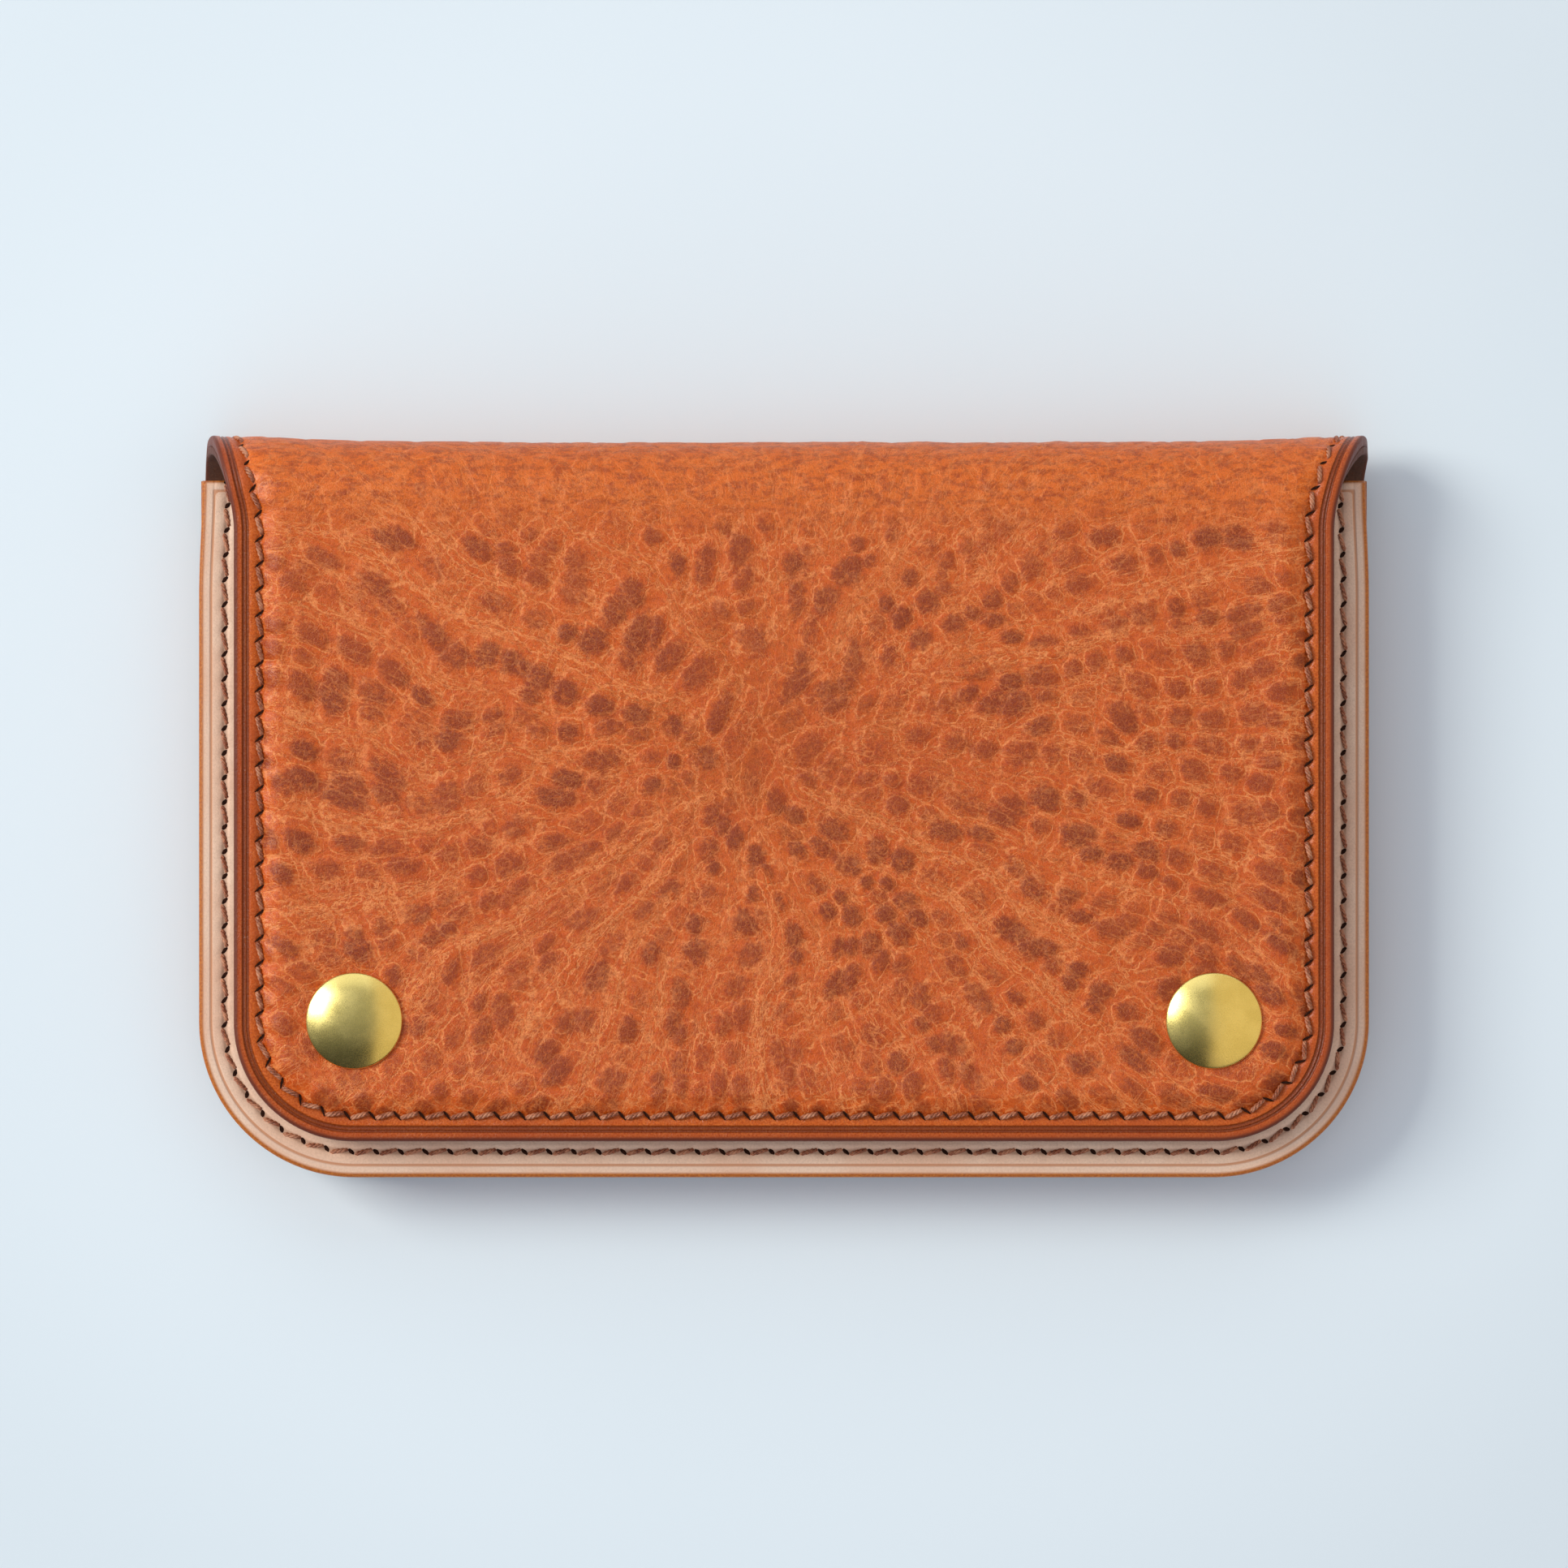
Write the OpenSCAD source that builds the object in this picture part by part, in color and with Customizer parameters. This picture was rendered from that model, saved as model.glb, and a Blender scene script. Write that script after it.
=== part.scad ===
// Flap-over card holder: a folded leather shell, a gusseted card pocket and two snap fasteners.
// Origin: centre of the outer box, on the back face. +Y towards the fold, +Z out of the flap.

/* [Body] */
// Width of the body
body_w = 120; // [110:0.5:140]
// Height from the bottom edge to the outside of the fold
body_h = 76.3; // [72:0.1:90]
// Radius of the two bottom corners
corner_r = 16; // [14:0.5:20]

/* [Leather] */
// Thickness of the shell's outer leather
outer_t = 1.2; // [1:0.1:1.5]
// Thickness of the shell's lining leather
lining_t = 0.9; // [0.7:0.1:1.1]
// Thickness of the front panel
front_t = 1.4; // [1.2:0.1:1.6]
// Thickness of the gusset leather
gusset_t = 0.8; // [0.6:0.1:1]
// Thickness of the patch pocket
patch_t = 0.7; // [0.5:0.1:0.8]

/* [Pocket] */
// Clear height between the back lining and the front panel
pocket_gap = 5.4; // [5:0.1:8]
// Distance of the front panel's top edge from the outside of the fold
mouth_drop = 4.85; // [4.6:0.05:8]
// Width of the thumb scoop in the front panel
scoop_w = 34; // [24:1:44]
// Depth of the thumb scoop
scoop_depth = 6; // [3:0.5:8]
// Width of the flange along each edge of the gusset
flange_w = 5; // [4:0.1:6]
// Height of the patch pocket on the lining
patch_h = 49; // [30:1:52]

/* [Flap] */
// Width of the flap below the fold
flap_w = 112.1; // [108:0.1:114]
// Distance of the flap's bottom edge from the body's bottom edge
flap_margin = 3.95; // [3:0.05:8]
// Radius of the flap's corners
flap_corner_r = 12.1; // [10:0.1:14]
// Gap between the front panel and the flap lining, held open by the snaps
snap_gap = 2.2; // [2.2:0.1:2.6]

/* [Stitching] */
// Distance from one stitch to the next
stitch_pitch = 2.54; // [2.4:0.01:4]
// Distance of a stitch line from the edge
stitch_inset = 2.65; // [2.4:0.05:3.2]
// Length of one visible stitch
stitch_len = 1.9; // [1.2:0.1:2]
// Diameter of the thread
thread_d = 0.5; // [0.4:0.05:0.6]

/* [Snaps] */
// Distance of each snap from the middle
snap_x = 43.75; // [38:0.25:44]
// Distance of each snap from the flap's bottom edge
snap_up = 12.3; // [11:0.1:16]
// Diameter of the cap
cap_d = 9.86; // [9:0.02:10.4]
// Height of the cap above the leather
cap_h = 1.5; // [1.2:0.1:1.8]

/* [Hidden] */
$fn = 96;

// Layers, from the back face up
shell_t = outer_t + lining_t;
front_z = shell_t + pocket_gap;
front_top = front_z + front_t;
flap_z = front_top + snap_gap;
flap_seam_z = flap_z + lining_t;
total_t = flap_z + shell_t;

// The fold is half a tube around a line along X at fold_y, fold_z
fold_r = total_t / 2;
fold_lining_r = fold_r - outer_t;
fold_inner_r = fold_lining_r - lining_t;
fold_mid_r = (fold_r + fold_inner_r) / 2;
fold_y = body_h / 2 - fold_r;
fold_z = fold_r;
fold_len = PI * fold_mid_r;

// Edges and seams
bottom_y = -body_h / 2;
mouth_y = body_h / 2 - mouth_drop;
flap_bottom = bottom_y + flap_margin;
groove_w = 0.9;
groove_t = 0.3;
groove_in = stitch_inset + groove_w / 2;
groove_out = stitch_inset - groove_w / 2;
stitch_proud = 0.1;
cut = 0.01;

// Gusset wall, and the slant that keeps its mouth clear of the fold
wall_in = flange_w + gusset_t;
gusset_back_y = fold_y - 0.25;

// Patch pocket, sewn flat on the lining between the gusset walls
patch_w = body_w - 2 * wall_in - 4;
patch_bottom = bottom_y + wall_in + 2;
patch_r = corner_r - wall_in - 2;
patch_inset = 1.8;

// Snap, as heights above the front panel and radii
snap_y = flap_bottom + snap_up;
hole_r = 1.5;
shank_r = 1.45;
shank_bore_r = 0.9;
flare_r = 2;
socket_r = 4.3;
socket_plate = 0.3;
socket_drop = 1.7;
socket_bore_r = 2.25;
spring_r = 2.62;
spring_wire_r = 0.2;
spring_up = 0.5;
spring_gap = 40;
stud_r = 3.9;
stud_neck_r = 1.7;
stud_bead_r = 2.05;
stud_h = 1.45;
eyelet_r = 3.1;
eyelet_tube_r = 1.2;
eyelet_bore_r = 0.8;
eyelet_up = 0.4;

function smooth(t) = let (c = min(max(t, 0), 1)) c * c * (3 - 2 * c);

// Half width of the shell, at a distance along it from the start of the fold: full width on
// the back, narrowing through the fold to the flap's width
waist_from = 5;
waist_len = 16;
function shell_half_w(along) = body_w / 2
    - (body_w - flap_w) / 2 * smooth((along - waist_from) / waist_len);
function flap_half_w(y) = shell_half_w(fold_len + fold_y - y);
// Angle that the shell's side turns in, at that distance
function side_turn(along) = atan(shell_half_w(along + 0.5) - shell_half_w(along - 0.5));

function mirrored(points) = concat(
    points, [for (i = [len(points) - 1:-1:0]) [-points[i].x, points[i].y]]);

// Flap outline, drawn inwards by inset
flap_steps = 10;
flap_side_y = fold_y + fold_len - waist_from - waist_len;
function flap_outline(inset) = mirrored(concat(
    [for (i = [0:flap_steps]) let (y = fold_y + (flap_side_y - fold_y) * i / flap_steps)
        [flap_half_w(y) - inset, y]],
    [for (a = [0:-6:-90])
        [flap_w / 2 - flap_corner_r + (flap_corner_r - inset) * cos(a),
         flap_bottom + flap_corner_r + (flap_corner_r - inset) * sin(a)]]));

// Panel outline: straight top edge, rounded bottom corners, drawn inwards by inset
module panel_outline(w, bottom, top, r, inset = 0) {
    half = w / 2 - inset;
    round_r = r - inset;
    low = bottom + inset;
    translate([-half, low + round_r]) square([2 * half, top - low - round_r]);
    translate([-half + round_r, low]) square([2 * (half - round_r), round_r + cut]);
    for (side = [-1, 1]) translate([side * (half - round_r), low + round_r]) circle(round_r);
}

module body_outline(top, inset = 0) panel_outline(body_w, bottom_y, top, corner_r, inset);

// U-shaped strip of the body outline, between two insets
module body_strip(top, from, to) {
    difference() {
        body_outline(top, from);
        body_outline(top + 1, to);
    }
}

module body_groove(top) body_strip(top, groove_out, groove_in);

// One stitch, lying along X
module stitch(h) translate([-stitch_len / 2, -thread_d / 2, 0]) cube([stitch_len, thread_d, h]);

// A row of stitches round a panel's sides and bottom; on_flap follows the flap's curved sides
module stitch_row(half, top, bottom, r, z, h, inset, on_flap = false) {
    side_h = top - bottom - r;
    n_side = floor(side_h / stitch_pitch);
    n_arc = round((r - inset) * PI / 2 / stitch_pitch);
    n_bottom = round(2 * (half - r) / stitch_pitch);
    translate([0, 0, z]) {
        for (m = [0, 1], i = [0:n_side - 1]) {
            y = bottom + r + side_h * (i + 0.5) / n_side;
            x = (on_flap ? flap_half_w(y) : half) - inset;
            mirror([m, 0, 0]) translate([x, y, 0]) rotate(90) stitch(h);
        }
        for (m = [0, 1], i = [0:n_arc - 1]) {
            a = -90 * (i + 0.5) / n_arc;
            mirror([m, 0, 0]) translate([half - r, bottom + r, 0]) rotate(a)
                translate([r - inset, 0, 0]) rotate(90) stitch(h);
        }
        for (i = [0:n_bottom - 1])
            translate([(half - r) * (2 * (i + 0.5) / n_bottom - 1), bottom + inset, 0]) stitch(h);
    }
}

module body_stitches(top, z, h)
    stitch_row(body_w / 2, top, bottom_y, corner_r, z, h, stitch_inset);

// Quarter of the fold's tube between two radii, cut to the shell's width less inset;
// upper picks the quarter above the fold's middle
module fold_quarter(inner, outer, upper, inset = 0) {
    from = upper ? 90 : 0;
    mid = (inner + outer) / 2;
    intersection() {
        translate([0, fold_y, fold_z]) rotate([90, 0, 90])
            linear_extrude(body_w, center = true) intersection() {
                difference() {
                    circle(outer);
                    circle(inner);
                }
                translate([0, upper ? 0 : -fold_r]) square(fold_r);
            }
        translate([0, body_h, fold_z]) rotate([90, 0, 0]) linear_extrude(body_h)
            polygon(mirrored([for (a = [from:10:from + 90])
                [shell_half_w(fold_mid_r * a * PI / 180) - inset,
                 a == 90 ? 0 : -(a == 0 || a == 180 ? fold_r + 1 : mid) * cos(a)]]));
    }
}

module fold_outer(upper) {
    floor_r = fold_r - groove_t;
    difference() {
        fold_quarter(fold_lining_r, fold_r, upper);
        difference() {
            fold_quarter(floor_r, fold_r + cut, upper, groove_out);
            fold_quarter(floor_r - cut, fold_r + 2 * cut, upper, groove_in);
        }
    }
}

// Stitches over the fold, sunk in its groove
module fold_stitching(upper) {
    n = floor(fold_len / 2 / stitch_pitch);
    for (m = [0, 1], i = [0:n - 1]) {
        a = 90 * (i + 0.5) / n + (upper ? 90 : 0);
        along = fold_mid_r * a * PI / 180;
        mirror([m, 0, 0]) translate([shell_half_w(along) - stitch_inset, fold_y, fold_z])
            rotate([a, 0, 0]) translate([0, 0, -fold_r + 0.1]) rotate(90 - side_turn(along))
                stitch(0.18);
    }
}

module at_snap(side) translate([side * snap_x, snap_y, 0]) children();
module at_snaps() for (side = [-1, 1]) at_snap(side) children();

module back_outer() {
    color("chocolate") difference() {
        linear_extrude(outer_t) body_outline(fold_y);
        translate([0, 0, -cut]) linear_extrude(groove_t + cut) body_groove(fold_y);
    }
}

module back_lining() {
    color("saddlebrown") translate([0, 0, outer_t]) linear_extrude(lining_t) body_outline(fold_y);
}

module patch_pocket() {
    color("sienna") translate([0, 0, shell_t]) linear_extrude(patch_t)
        panel_outline(patch_w, patch_bottom, patch_bottom + patch_h, patch_r);
}

// One strip folded into a channel: a flange on the lining, a wall, a flange under the front panel
module gusset() {
    color("burlywood") intersection() {
        union() {
            for (z = [shell_t, front_z - gusset_t])
                translate([0, 0, z]) linear_extrude(gusset_t) body_strip(mouth_y, 0, wall_in);
            translate([0, 0, shell_t]) linear_extrude(pocket_gap)
                body_strip(mouth_y, flange_w, wall_in);
        }
        rotate([90, 0, 90]) linear_extrude(body_w + 1, center = true) polygon([
            [bottom_y - 1, 0], [gusset_back_y, 0], [gusset_back_y, shell_t + gusset_t],
            [mouth_y, front_z - gusset_t], [mouth_y, front_z], [bottom_y - 1, front_z]]);
    }
}

module front_panel() {
    scoop_r = (scoop_w * scoop_w / 4 + scoop_depth * scoop_depth) / (2 * scoop_depth);
    color("burlywood") difference() {
        translate([0, 0, front_z]) linear_extrude(front_t) difference() {
            body_outline(mouth_y);
            translate([0, mouth_y - scoop_depth + scoop_r]) circle(scoop_r);
        }
        translate([0, 0, front_top - groove_t]) linear_extrude(1) body_groove(mouth_y - 2);
        at_snaps() translate([0, 0, front_z - 1]) cylinder(r = eyelet_tube_r + 0.03, h = 4);
    }
}

module back_stitching() color("sienna") body_stitches(fold_y, 0.05, groove_t - 0.05);

module front_stitching()
    color("sienna") body_stitches(mouth_y - 2, front_top - groove_t, groove_t + stitch_proud);

module patch_stitching() {
    color("sienna") stitch_row(patch_w / 2, patch_bottom + patch_h, patch_bottom, patch_r,
        shell_t + patch_t, 0.12, patch_inset);
}

module fold_outer_lower() color("chocolate") fold_outer(false);
module fold_outer_upper() color("chocolate") fold_outer(true);
module fold_lining_lower() color("saddlebrown") fold_quarter(fold_inner_r, fold_lining_r, false);
module fold_lining_upper() color("saddlebrown") fold_quarter(fold_inner_r, fold_lining_r, true);
module fold_stitching_lower() color("sienna") fold_stitching(false);
module fold_stitching_upper() color("sienna") fold_stitching(true);

module flap_outer() {
    color("chocolate") difference() {
        translate([0, 0, flap_seam_z]) linear_extrude(outer_t) polygon(flap_outline(0));
        translate([0, 0, total_t - groove_t]) linear_extrude(1) difference() {
            polygon(flap_outline(groove_out));
            polygon(flap_outline(groove_in));
        }
        at_snaps() translate([0, 0, flap_z]) cylinder(r = hole_r, h = 4);
    }
}

module flap_lining() {
    color("saddlebrown") difference() {
        translate([0, 0, flap_z]) linear_extrude(lining_t) polygon(flap_outline(0));
        at_snaps() translate([0, 0, flap_z - 1]) cylinder(r = hole_r, h = 4);
    }
}

module flap_stitching() {
    color("sienna") stitch_row(flap_w / 2, fold_y, flap_bottom, flap_corner_r,
        total_t - groove_t, groove_t + stitch_proud, stitch_inset, true);
}

// Domed cap with a hollow shank, flared under the socket's plate
module snap_cap() {
    rim_t = 0.35;
    rim_r = cap_d / 2;
    dome_r = (rim_r * rim_r + (cap_h - rim_t) * (cap_h - rim_t)) / (2 * (cap_h - rim_t));
    plate_z = flap_z - socket_plate;
    color("goldenrod") {
        translate([0, 0, total_t]) {
            cylinder(r = rim_r, h = rim_t);
            intersection() {
                translate([0, 0, cap_h - dome_r]) sphere(dome_r);
                cylinder(r = rim_r, h = cap_h);
            }
        }
        difference() {
            union() {
                translate([0, 0, plate_z]) cylinder(r = shank_r, h = total_t - plate_z + cut);
                translate([0, 0, plate_z - 0.25]) cylinder(r = flare_r, h = 0.25);
            }
            translate([0, 0, plate_z - 1]) cylinder(r = shank_bore_r, h = 2.5);
        }
    }
}

// Socket under the flap: a plate, and a ring with a groove for the spring
module snap_socket() {
    ring_r = socket_r - 0.4;
    color("goldenrod") translate([0, 0, flap_z - socket_drop]) difference() {
        union() {
            translate([0, 0, socket_drop - socket_plate]) cylinder(r = socket_r, h = socket_plate);
            cylinder(r = ring_r, h = socket_drop - socket_plate + cut);
        }
        translate([0, 0, -1]) cylinder(r = socket_bore_r, h = 1 + socket_drop - socket_plate);
        cylinder(r = hole_r, h = 3);
        translate([0, 0, spring_up - spring_wire_r - 0.05])
            cylinder(r = spring_r + spring_wire_r + 0.05, h = 2 * spring_wire_r + 0.1);
    }
}

// Open wire ring that grips the stud
module snap_spring() {
    color("silver") translate([0, 0, flap_z - socket_drop + spring_up]) rotate(spring_gap / 2)
        rotate_extrude(angle = 360 - spring_gap) translate([spring_r, 0]) circle(spring_wire_r);
}

// Stud on the front panel: base, neck and rounded bead
module snap_stud() {
    bead = stud_bead_r - stud_neck_r;
    color("goldenrod") translate([0, 0, front_top]) rotate_extrude() difference() {
        union() {
            square([stud_r, 0.3]);
            square([stud_neck_r, stud_h]);
            translate([stud_neck_r, stud_h - bead]) circle(bead, $fn = 48);
        }
        square([eyelet_tube_r, eyelet_up + 0.05]);
    }
}

// Eyelet that holds the stud from inside the pocket
module snap_eyelet() {
    color("goldenrod") translate([0, 0, front_z]) difference() {
        union() {
            translate([0, 0, -0.3]) cylinder(r = eyelet_r, h = 0.3);
            cylinder(r = eyelet_tube_r, h = front_t + eyelet_up);
        }
        translate([0, 0, -1]) cylinder(r = eyelet_bore_r, h = 4);
    }
}

module snap_cap_left() at_snap(-1) snap_cap();
module snap_cap_right() at_snap(1) snap_cap();
module snap_socket_left() at_snap(-1) snap_socket();
module snap_socket_right() at_snap(1) snap_socket();
module snap_spring_left() at_snap(-1) snap_spring();
module snap_spring_right() at_snap(1) snap_spring();
module snap_stud_left() at_snap(-1) snap_stud();
module snap_stud_right() at_snap(1) snap_stud();
module snap_eyelet_left() at_snap(-1) snap_eyelet();
module snap_eyelet_right() at_snap(1) snap_eyelet();

back_outer();
back_lining();
patch_pocket();
gusset();
front_panel();
back_stitching();
front_stitching();
patch_stitching();
fold_outer_lower();
fold_outer_upper();
fold_lining_lower();
fold_lining_upper();
fold_stitching_lower();
fold_stitching_upper();
flap_outer();
flap_lining();
flap_stitching();
snap_cap_left();
snap_cap_right();
snap_socket_left();
snap_socket_right();
snap_spring_left();
snap_spring_right();
snap_stud_left();
snap_stud_right();
snap_eyelet_left();
snap_eyelet_right();
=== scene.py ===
import math
from functools import partialmethod, reduce

import bpy
import numpy as np
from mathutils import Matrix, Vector


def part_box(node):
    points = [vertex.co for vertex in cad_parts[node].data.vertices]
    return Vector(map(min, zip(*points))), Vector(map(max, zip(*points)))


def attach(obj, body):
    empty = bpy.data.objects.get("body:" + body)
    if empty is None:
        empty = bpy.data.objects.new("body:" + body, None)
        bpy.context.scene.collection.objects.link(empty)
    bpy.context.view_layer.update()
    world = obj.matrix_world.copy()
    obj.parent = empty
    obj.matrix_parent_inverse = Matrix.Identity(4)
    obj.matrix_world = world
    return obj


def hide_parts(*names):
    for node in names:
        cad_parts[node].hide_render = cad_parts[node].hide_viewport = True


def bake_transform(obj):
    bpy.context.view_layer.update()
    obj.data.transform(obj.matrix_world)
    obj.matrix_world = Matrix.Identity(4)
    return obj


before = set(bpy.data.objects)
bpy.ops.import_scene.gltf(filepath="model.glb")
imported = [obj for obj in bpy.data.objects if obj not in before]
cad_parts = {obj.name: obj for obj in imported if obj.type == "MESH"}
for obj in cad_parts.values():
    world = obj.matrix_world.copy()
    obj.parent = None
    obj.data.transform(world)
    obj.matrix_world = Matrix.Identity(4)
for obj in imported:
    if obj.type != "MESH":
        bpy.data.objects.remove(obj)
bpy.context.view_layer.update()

# ---- sizes, all in millimetres
MM = 0.001


def box_mm(node):
    """Lowest and highest corner of a CAD node, in millimetres."""
    return [np.array(corner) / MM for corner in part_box(node)]


BACK_LOW, BACK_HIGH = box_mm("back_outer")
LINING_HIGH = box_mm("back_lining")[1]
PANEL_LOW, PANEL_HIGH = box_mm("front_panel")
GUSSET_LOW, GUSSET_HIGH = box_mm("gusset")
FLAP_LOW, FLAP_HIGH = box_mm("flap_outer")
PATCH_LOW, PATCH_HIGH = box_mm("patch_pocket")

BODY_HALF = BACK_HIGH[0]
BODY_BOTTOM = BACK_LOW[1]
FOLD_Y = BACK_HIGH[1]
OUTER_T = BACK_HIGH[2]
SHELL_T = LINING_HIGH[2]
LINING_T = SHELL_T - OUTER_T
TOTAL_T = FLAP_HIGH[2]
FOLD_Z = FOLD_R = TOTAL_T / 2
FOLD_MID_R = FOLD_R - SHELL_T / 2
FOLD_LEN = math.pi * FOLD_MID_R
BODY_CORNER = 16.0
FLAP_HALF = 56.05
FLAP_CORNER = 12.1
WAIST_FROM, WAIST_LEN = 5.0, 16.0
FOLD_HOLLOW, FOLD_LEAN = 0.78, 0.4
FLAP_END = FOLD_LEN + FOLD_Y - FLAP_LOW[1]
BACK_END = FOLD_Y - BODY_BOTTOM
STITCH_IN = 2.65
STITCH_PITCH = 2.54
BAND_IN = 3.3
SEED = 7
HOLE_LEN, HOLE_W = 1.36, 0.30
HOLE_TURN = math.radians(-52)


def smooth(t):
    t = np.clip(t, 0.0, 1.0)
    return t * t * (3 - 2 * t)


def shell_half(u):
    """Half width of the shell at distance u along it from the start of the fold."""
    return BODY_HALF - (BODY_HALF - FLAP_HALF) * smooth((u - WAIST_FROM) / WAIST_LEN)


def cos_sin(degrees):
    a = math.radians(degrees)
    return math.cos(a), math.sin(a)


def srgb(color):
    """Linear colour of an 8-bit sRGB colour."""
    parts = [part / 255 for part in color]
    return *(c / 12.92 if c <= 0.04045 else ((c + 0.055) / 1.055) ** 2.4 for c in parts), 1.0


# ---- grain of the shell leather
FLOW_X, FLOW_Y = -3.0, 7.7
ROW_WIDEST = 3.6
PAD_STEP = 3.5
PAD_STRETCH = 1.35


def value_noise(x, y, scale, seed):
    """Smooth noise from 0 to 1, with features about scale millimetres across."""
    rng = np.random.default_rng(seed)
    n = 128
    grid = rng.random((n, n))
    fx, fy = x / scale + 1000.0, y / scale + 1000.0
    ix, iy = np.floor(fx).astype(int), np.floor(fy).astype(int)
    tx, ty = smooth(fx - ix), smooth(fy - iy)
    a, b = grid[ix % n, iy % n], grid[(ix + 1) % n, iy % n]
    c, d = grid[ix % n, (iy + 1) % n], grid[(ix + 1) % n, (iy + 1) % n]
    return (a * (1 - tx) + b * tx) * (1 - ty) + (c * (1 - tx) + d * tx) * ty


def fractal_noise(x, y, scale, seed):
    total, weight = np.zeros_like(x), 0.0
    for k in range(3):
        total = total + value_noise(x, y, scale / 2**k, seed + k) / 2**k
        weight += 1 / 2**k
    return total / weight


def bend_flow(x, y):
    """Moves points so that straight rays from the flow's centre wander like leather's wrinkles."""
    wx = (fractal_noise(x, y, 28.0, SEED + 11) - 0.5) * 12.5
    wy = (fractal_noise(x, y, 28.0, SEED + 21) - 0.5) * 12.5
    return x + wx, y + wy


def grain_ridges():
    """The long raised ridges: angle, start and end radius, strength."""
    rng = np.random.default_rng(SEED + 1)
    count = 34
    angles = (np.arange(count) + rng.uniform(-0.34, 0.34, count)) * 2 * math.pi / count
    starts = np.where(rng.random(count) < 0.35, rng.uniform(2, 9, count), rng.uniform(12, 34, count))
    ends = starts + rng.uniform(20, 60, count)
    return np.stack([angles, starts, ends, rng.uniform(0.55, 1.0, count)], 1)


RIDGES = grain_ridges()


def from_ridges(angle):
    """Signed angles from each ridge."""
    return (angle[:, None] - RIDGES[:, 0] + math.pi) % (2 * math.pi) - math.pi


def ridge_at(r, angle):
    """Distance in millimetres to the nearest ridge line, and its strength there."""
    across = np.abs(from_ridges(angle)) * r[:, None]
    strength = RIDGES[:, 3] * smooth((r[:, None] - RIDGES[:, 1]) / 5) * smooth(
        (RIDGES[:, 2] - r[:, None]) / 8)
    across = across + (1 - strength) * 3.0
    nearest = across.argmin(1)
    rows = np.arange(len(r))
    return across[rows, nearest], strength[rows, nearest]


def grain_seeds():
    """Centres of the grain's pads, in rows along the rays: x, y, size, darkness."""
    rng = np.random.default_rng(SEED)
    found = []
    rows, inner = 8, 2.0
    while inner < 135:
        outer = rows * ROW_WIDEST / (2 * math.pi)
        turn = rng.random() * 6.28
        for row in range(rows):
            r = inner + rng.uniform(0, PAD_STEP)
            while r < outer:
                a = turn + 2 * math.pi * (row + rng.uniform(-0.14, 0.14)) / rows
                found.append((r, a, rng.uniform(0.78, 1.22), rng.random()))
                r += PAD_STEP * rng.uniform(0.72, 1.30)
        inner, rows = outer, round(rows * 1.5)
    found = np.array(found)
    r, a = found[:, 0], found[:, 1]
    across = from_ridges(a) * r[:, None]
    on = (r[:, None] > RIDGES[:, 1]) & (r[:, None] < RIDGES[:, 2])
    across = np.where(on, across, np.inf)
    nearest = np.abs(across).argmin(1)
    gap = across[np.arange(len(r)), nearest]
    clear = 2.3
    push = np.where(np.abs(gap) < clear, np.sign(gap) * (clear - np.abs(gap)), 0)
    a = a + push / r
    return np.stack([r * np.cos(a), r * np.sin(a), found[:, 2], found[:, 3]], 1)


SEEDS = grain_seeds()
PAD_R, PAD_SOFT = 1.62, 1.12
FOLD_MIDDLE = FOLD_Y + FOLD_LEN / 2


def grain(x, y):
    """Fields of the grain at flat points in millimetres, as point attributes.

    pad is 0 to 1 inside the dark pads, gap grows from 0 on the lines between them, ridge is the
    distance to the nearest ridge line, ridge_power is 0 to 1, flow is for noise drawn out along
    the rays, and bend is 1 on the fold.
    """
    bx, by = bend_flow(x, y)
    px, py = bx - FLOW_X, by - FLOW_Y
    pad, gap = np.zeros(px.size), np.zeros(px.size)
    strip, chunk, reach = 8, 4000, 11
    order = np.argsort(np.round(py / strip) * 1000 + px)
    for i in range(0, px.size, chunk):
        pick = order[i : i + chunk]
        x0, y0 = px[pick], py[pick]
        near = SEEDS[
            (SEEDS[:, 0] > x0.min() - reach) & (SEEDS[:, 0] < x0.max() + reach)
            & (SEEDS[:, 1] > y0.min() - reach) & (SEEDS[:, 1] < y0.max() + reach)
        ]
        r = np.hypot(x0, y0) + 1e-6
        ex, ey = (x0 / r)[:, None], (y0 / r)[:, None]
        dx, dy = near[:, 0] - x0[:, None], near[:, 1] - y0[:, None]
        along, across = dx * ex + dy * ey, dy * ex - dx * ey
        dist = np.hypot(along / PAD_STRETCH, across) / near[:, 2]
        first = dist.argmin(1)
        rows = np.arange(len(pick))
        f1 = dist[rows, first].copy()
        dist[rows, first] = np.inf
        gap[pick] = dist.min(1) - f1
        darkness = 0.50 + 0.50 * smooth(near[first, 3] / 0.7)
        pad[pick] = smooth((PAD_R - f1) / PAD_SOFT) * darkness
    r, angle = np.hypot(px, py) + 1e-3, np.arctan2(py, px)
    ridge, power = ridge_at(r, angle)
    flow = np.stack([np.log(r + 4) * 9.0, np.sin(angle) * 40.0, np.cos(angle) * 40.0], -1)
    calm = smooth(ridge / 1.6)
    bend = 1 - smooth((np.abs(y - FOLD_MIDDLE) - 8.5) / 5.0)
    return {"pad": pad * calm * (1 - bend), "gap": gap, "ridge": ridge, "ridge_power": power,
            "flow": flow, "bend": bend}


def relief(fields, x, y):
    """Height of the grain in millimetres: domed pads, fine valleys between, raised ridges."""
    valley = np.exp(-((fields["gap"] / 0.55) ** 2))
    raised = fields["ridge_power"] * np.exp(-((fields["ridge"] / 0.85) ** 2))
    rolling = fractal_noise(x, y, 9.0, SEED + 5) - 0.5
    return 0.13 * fields["pad"] - 0.10 * valley + 0.15 * raised + 0.13 * rolling


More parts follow.
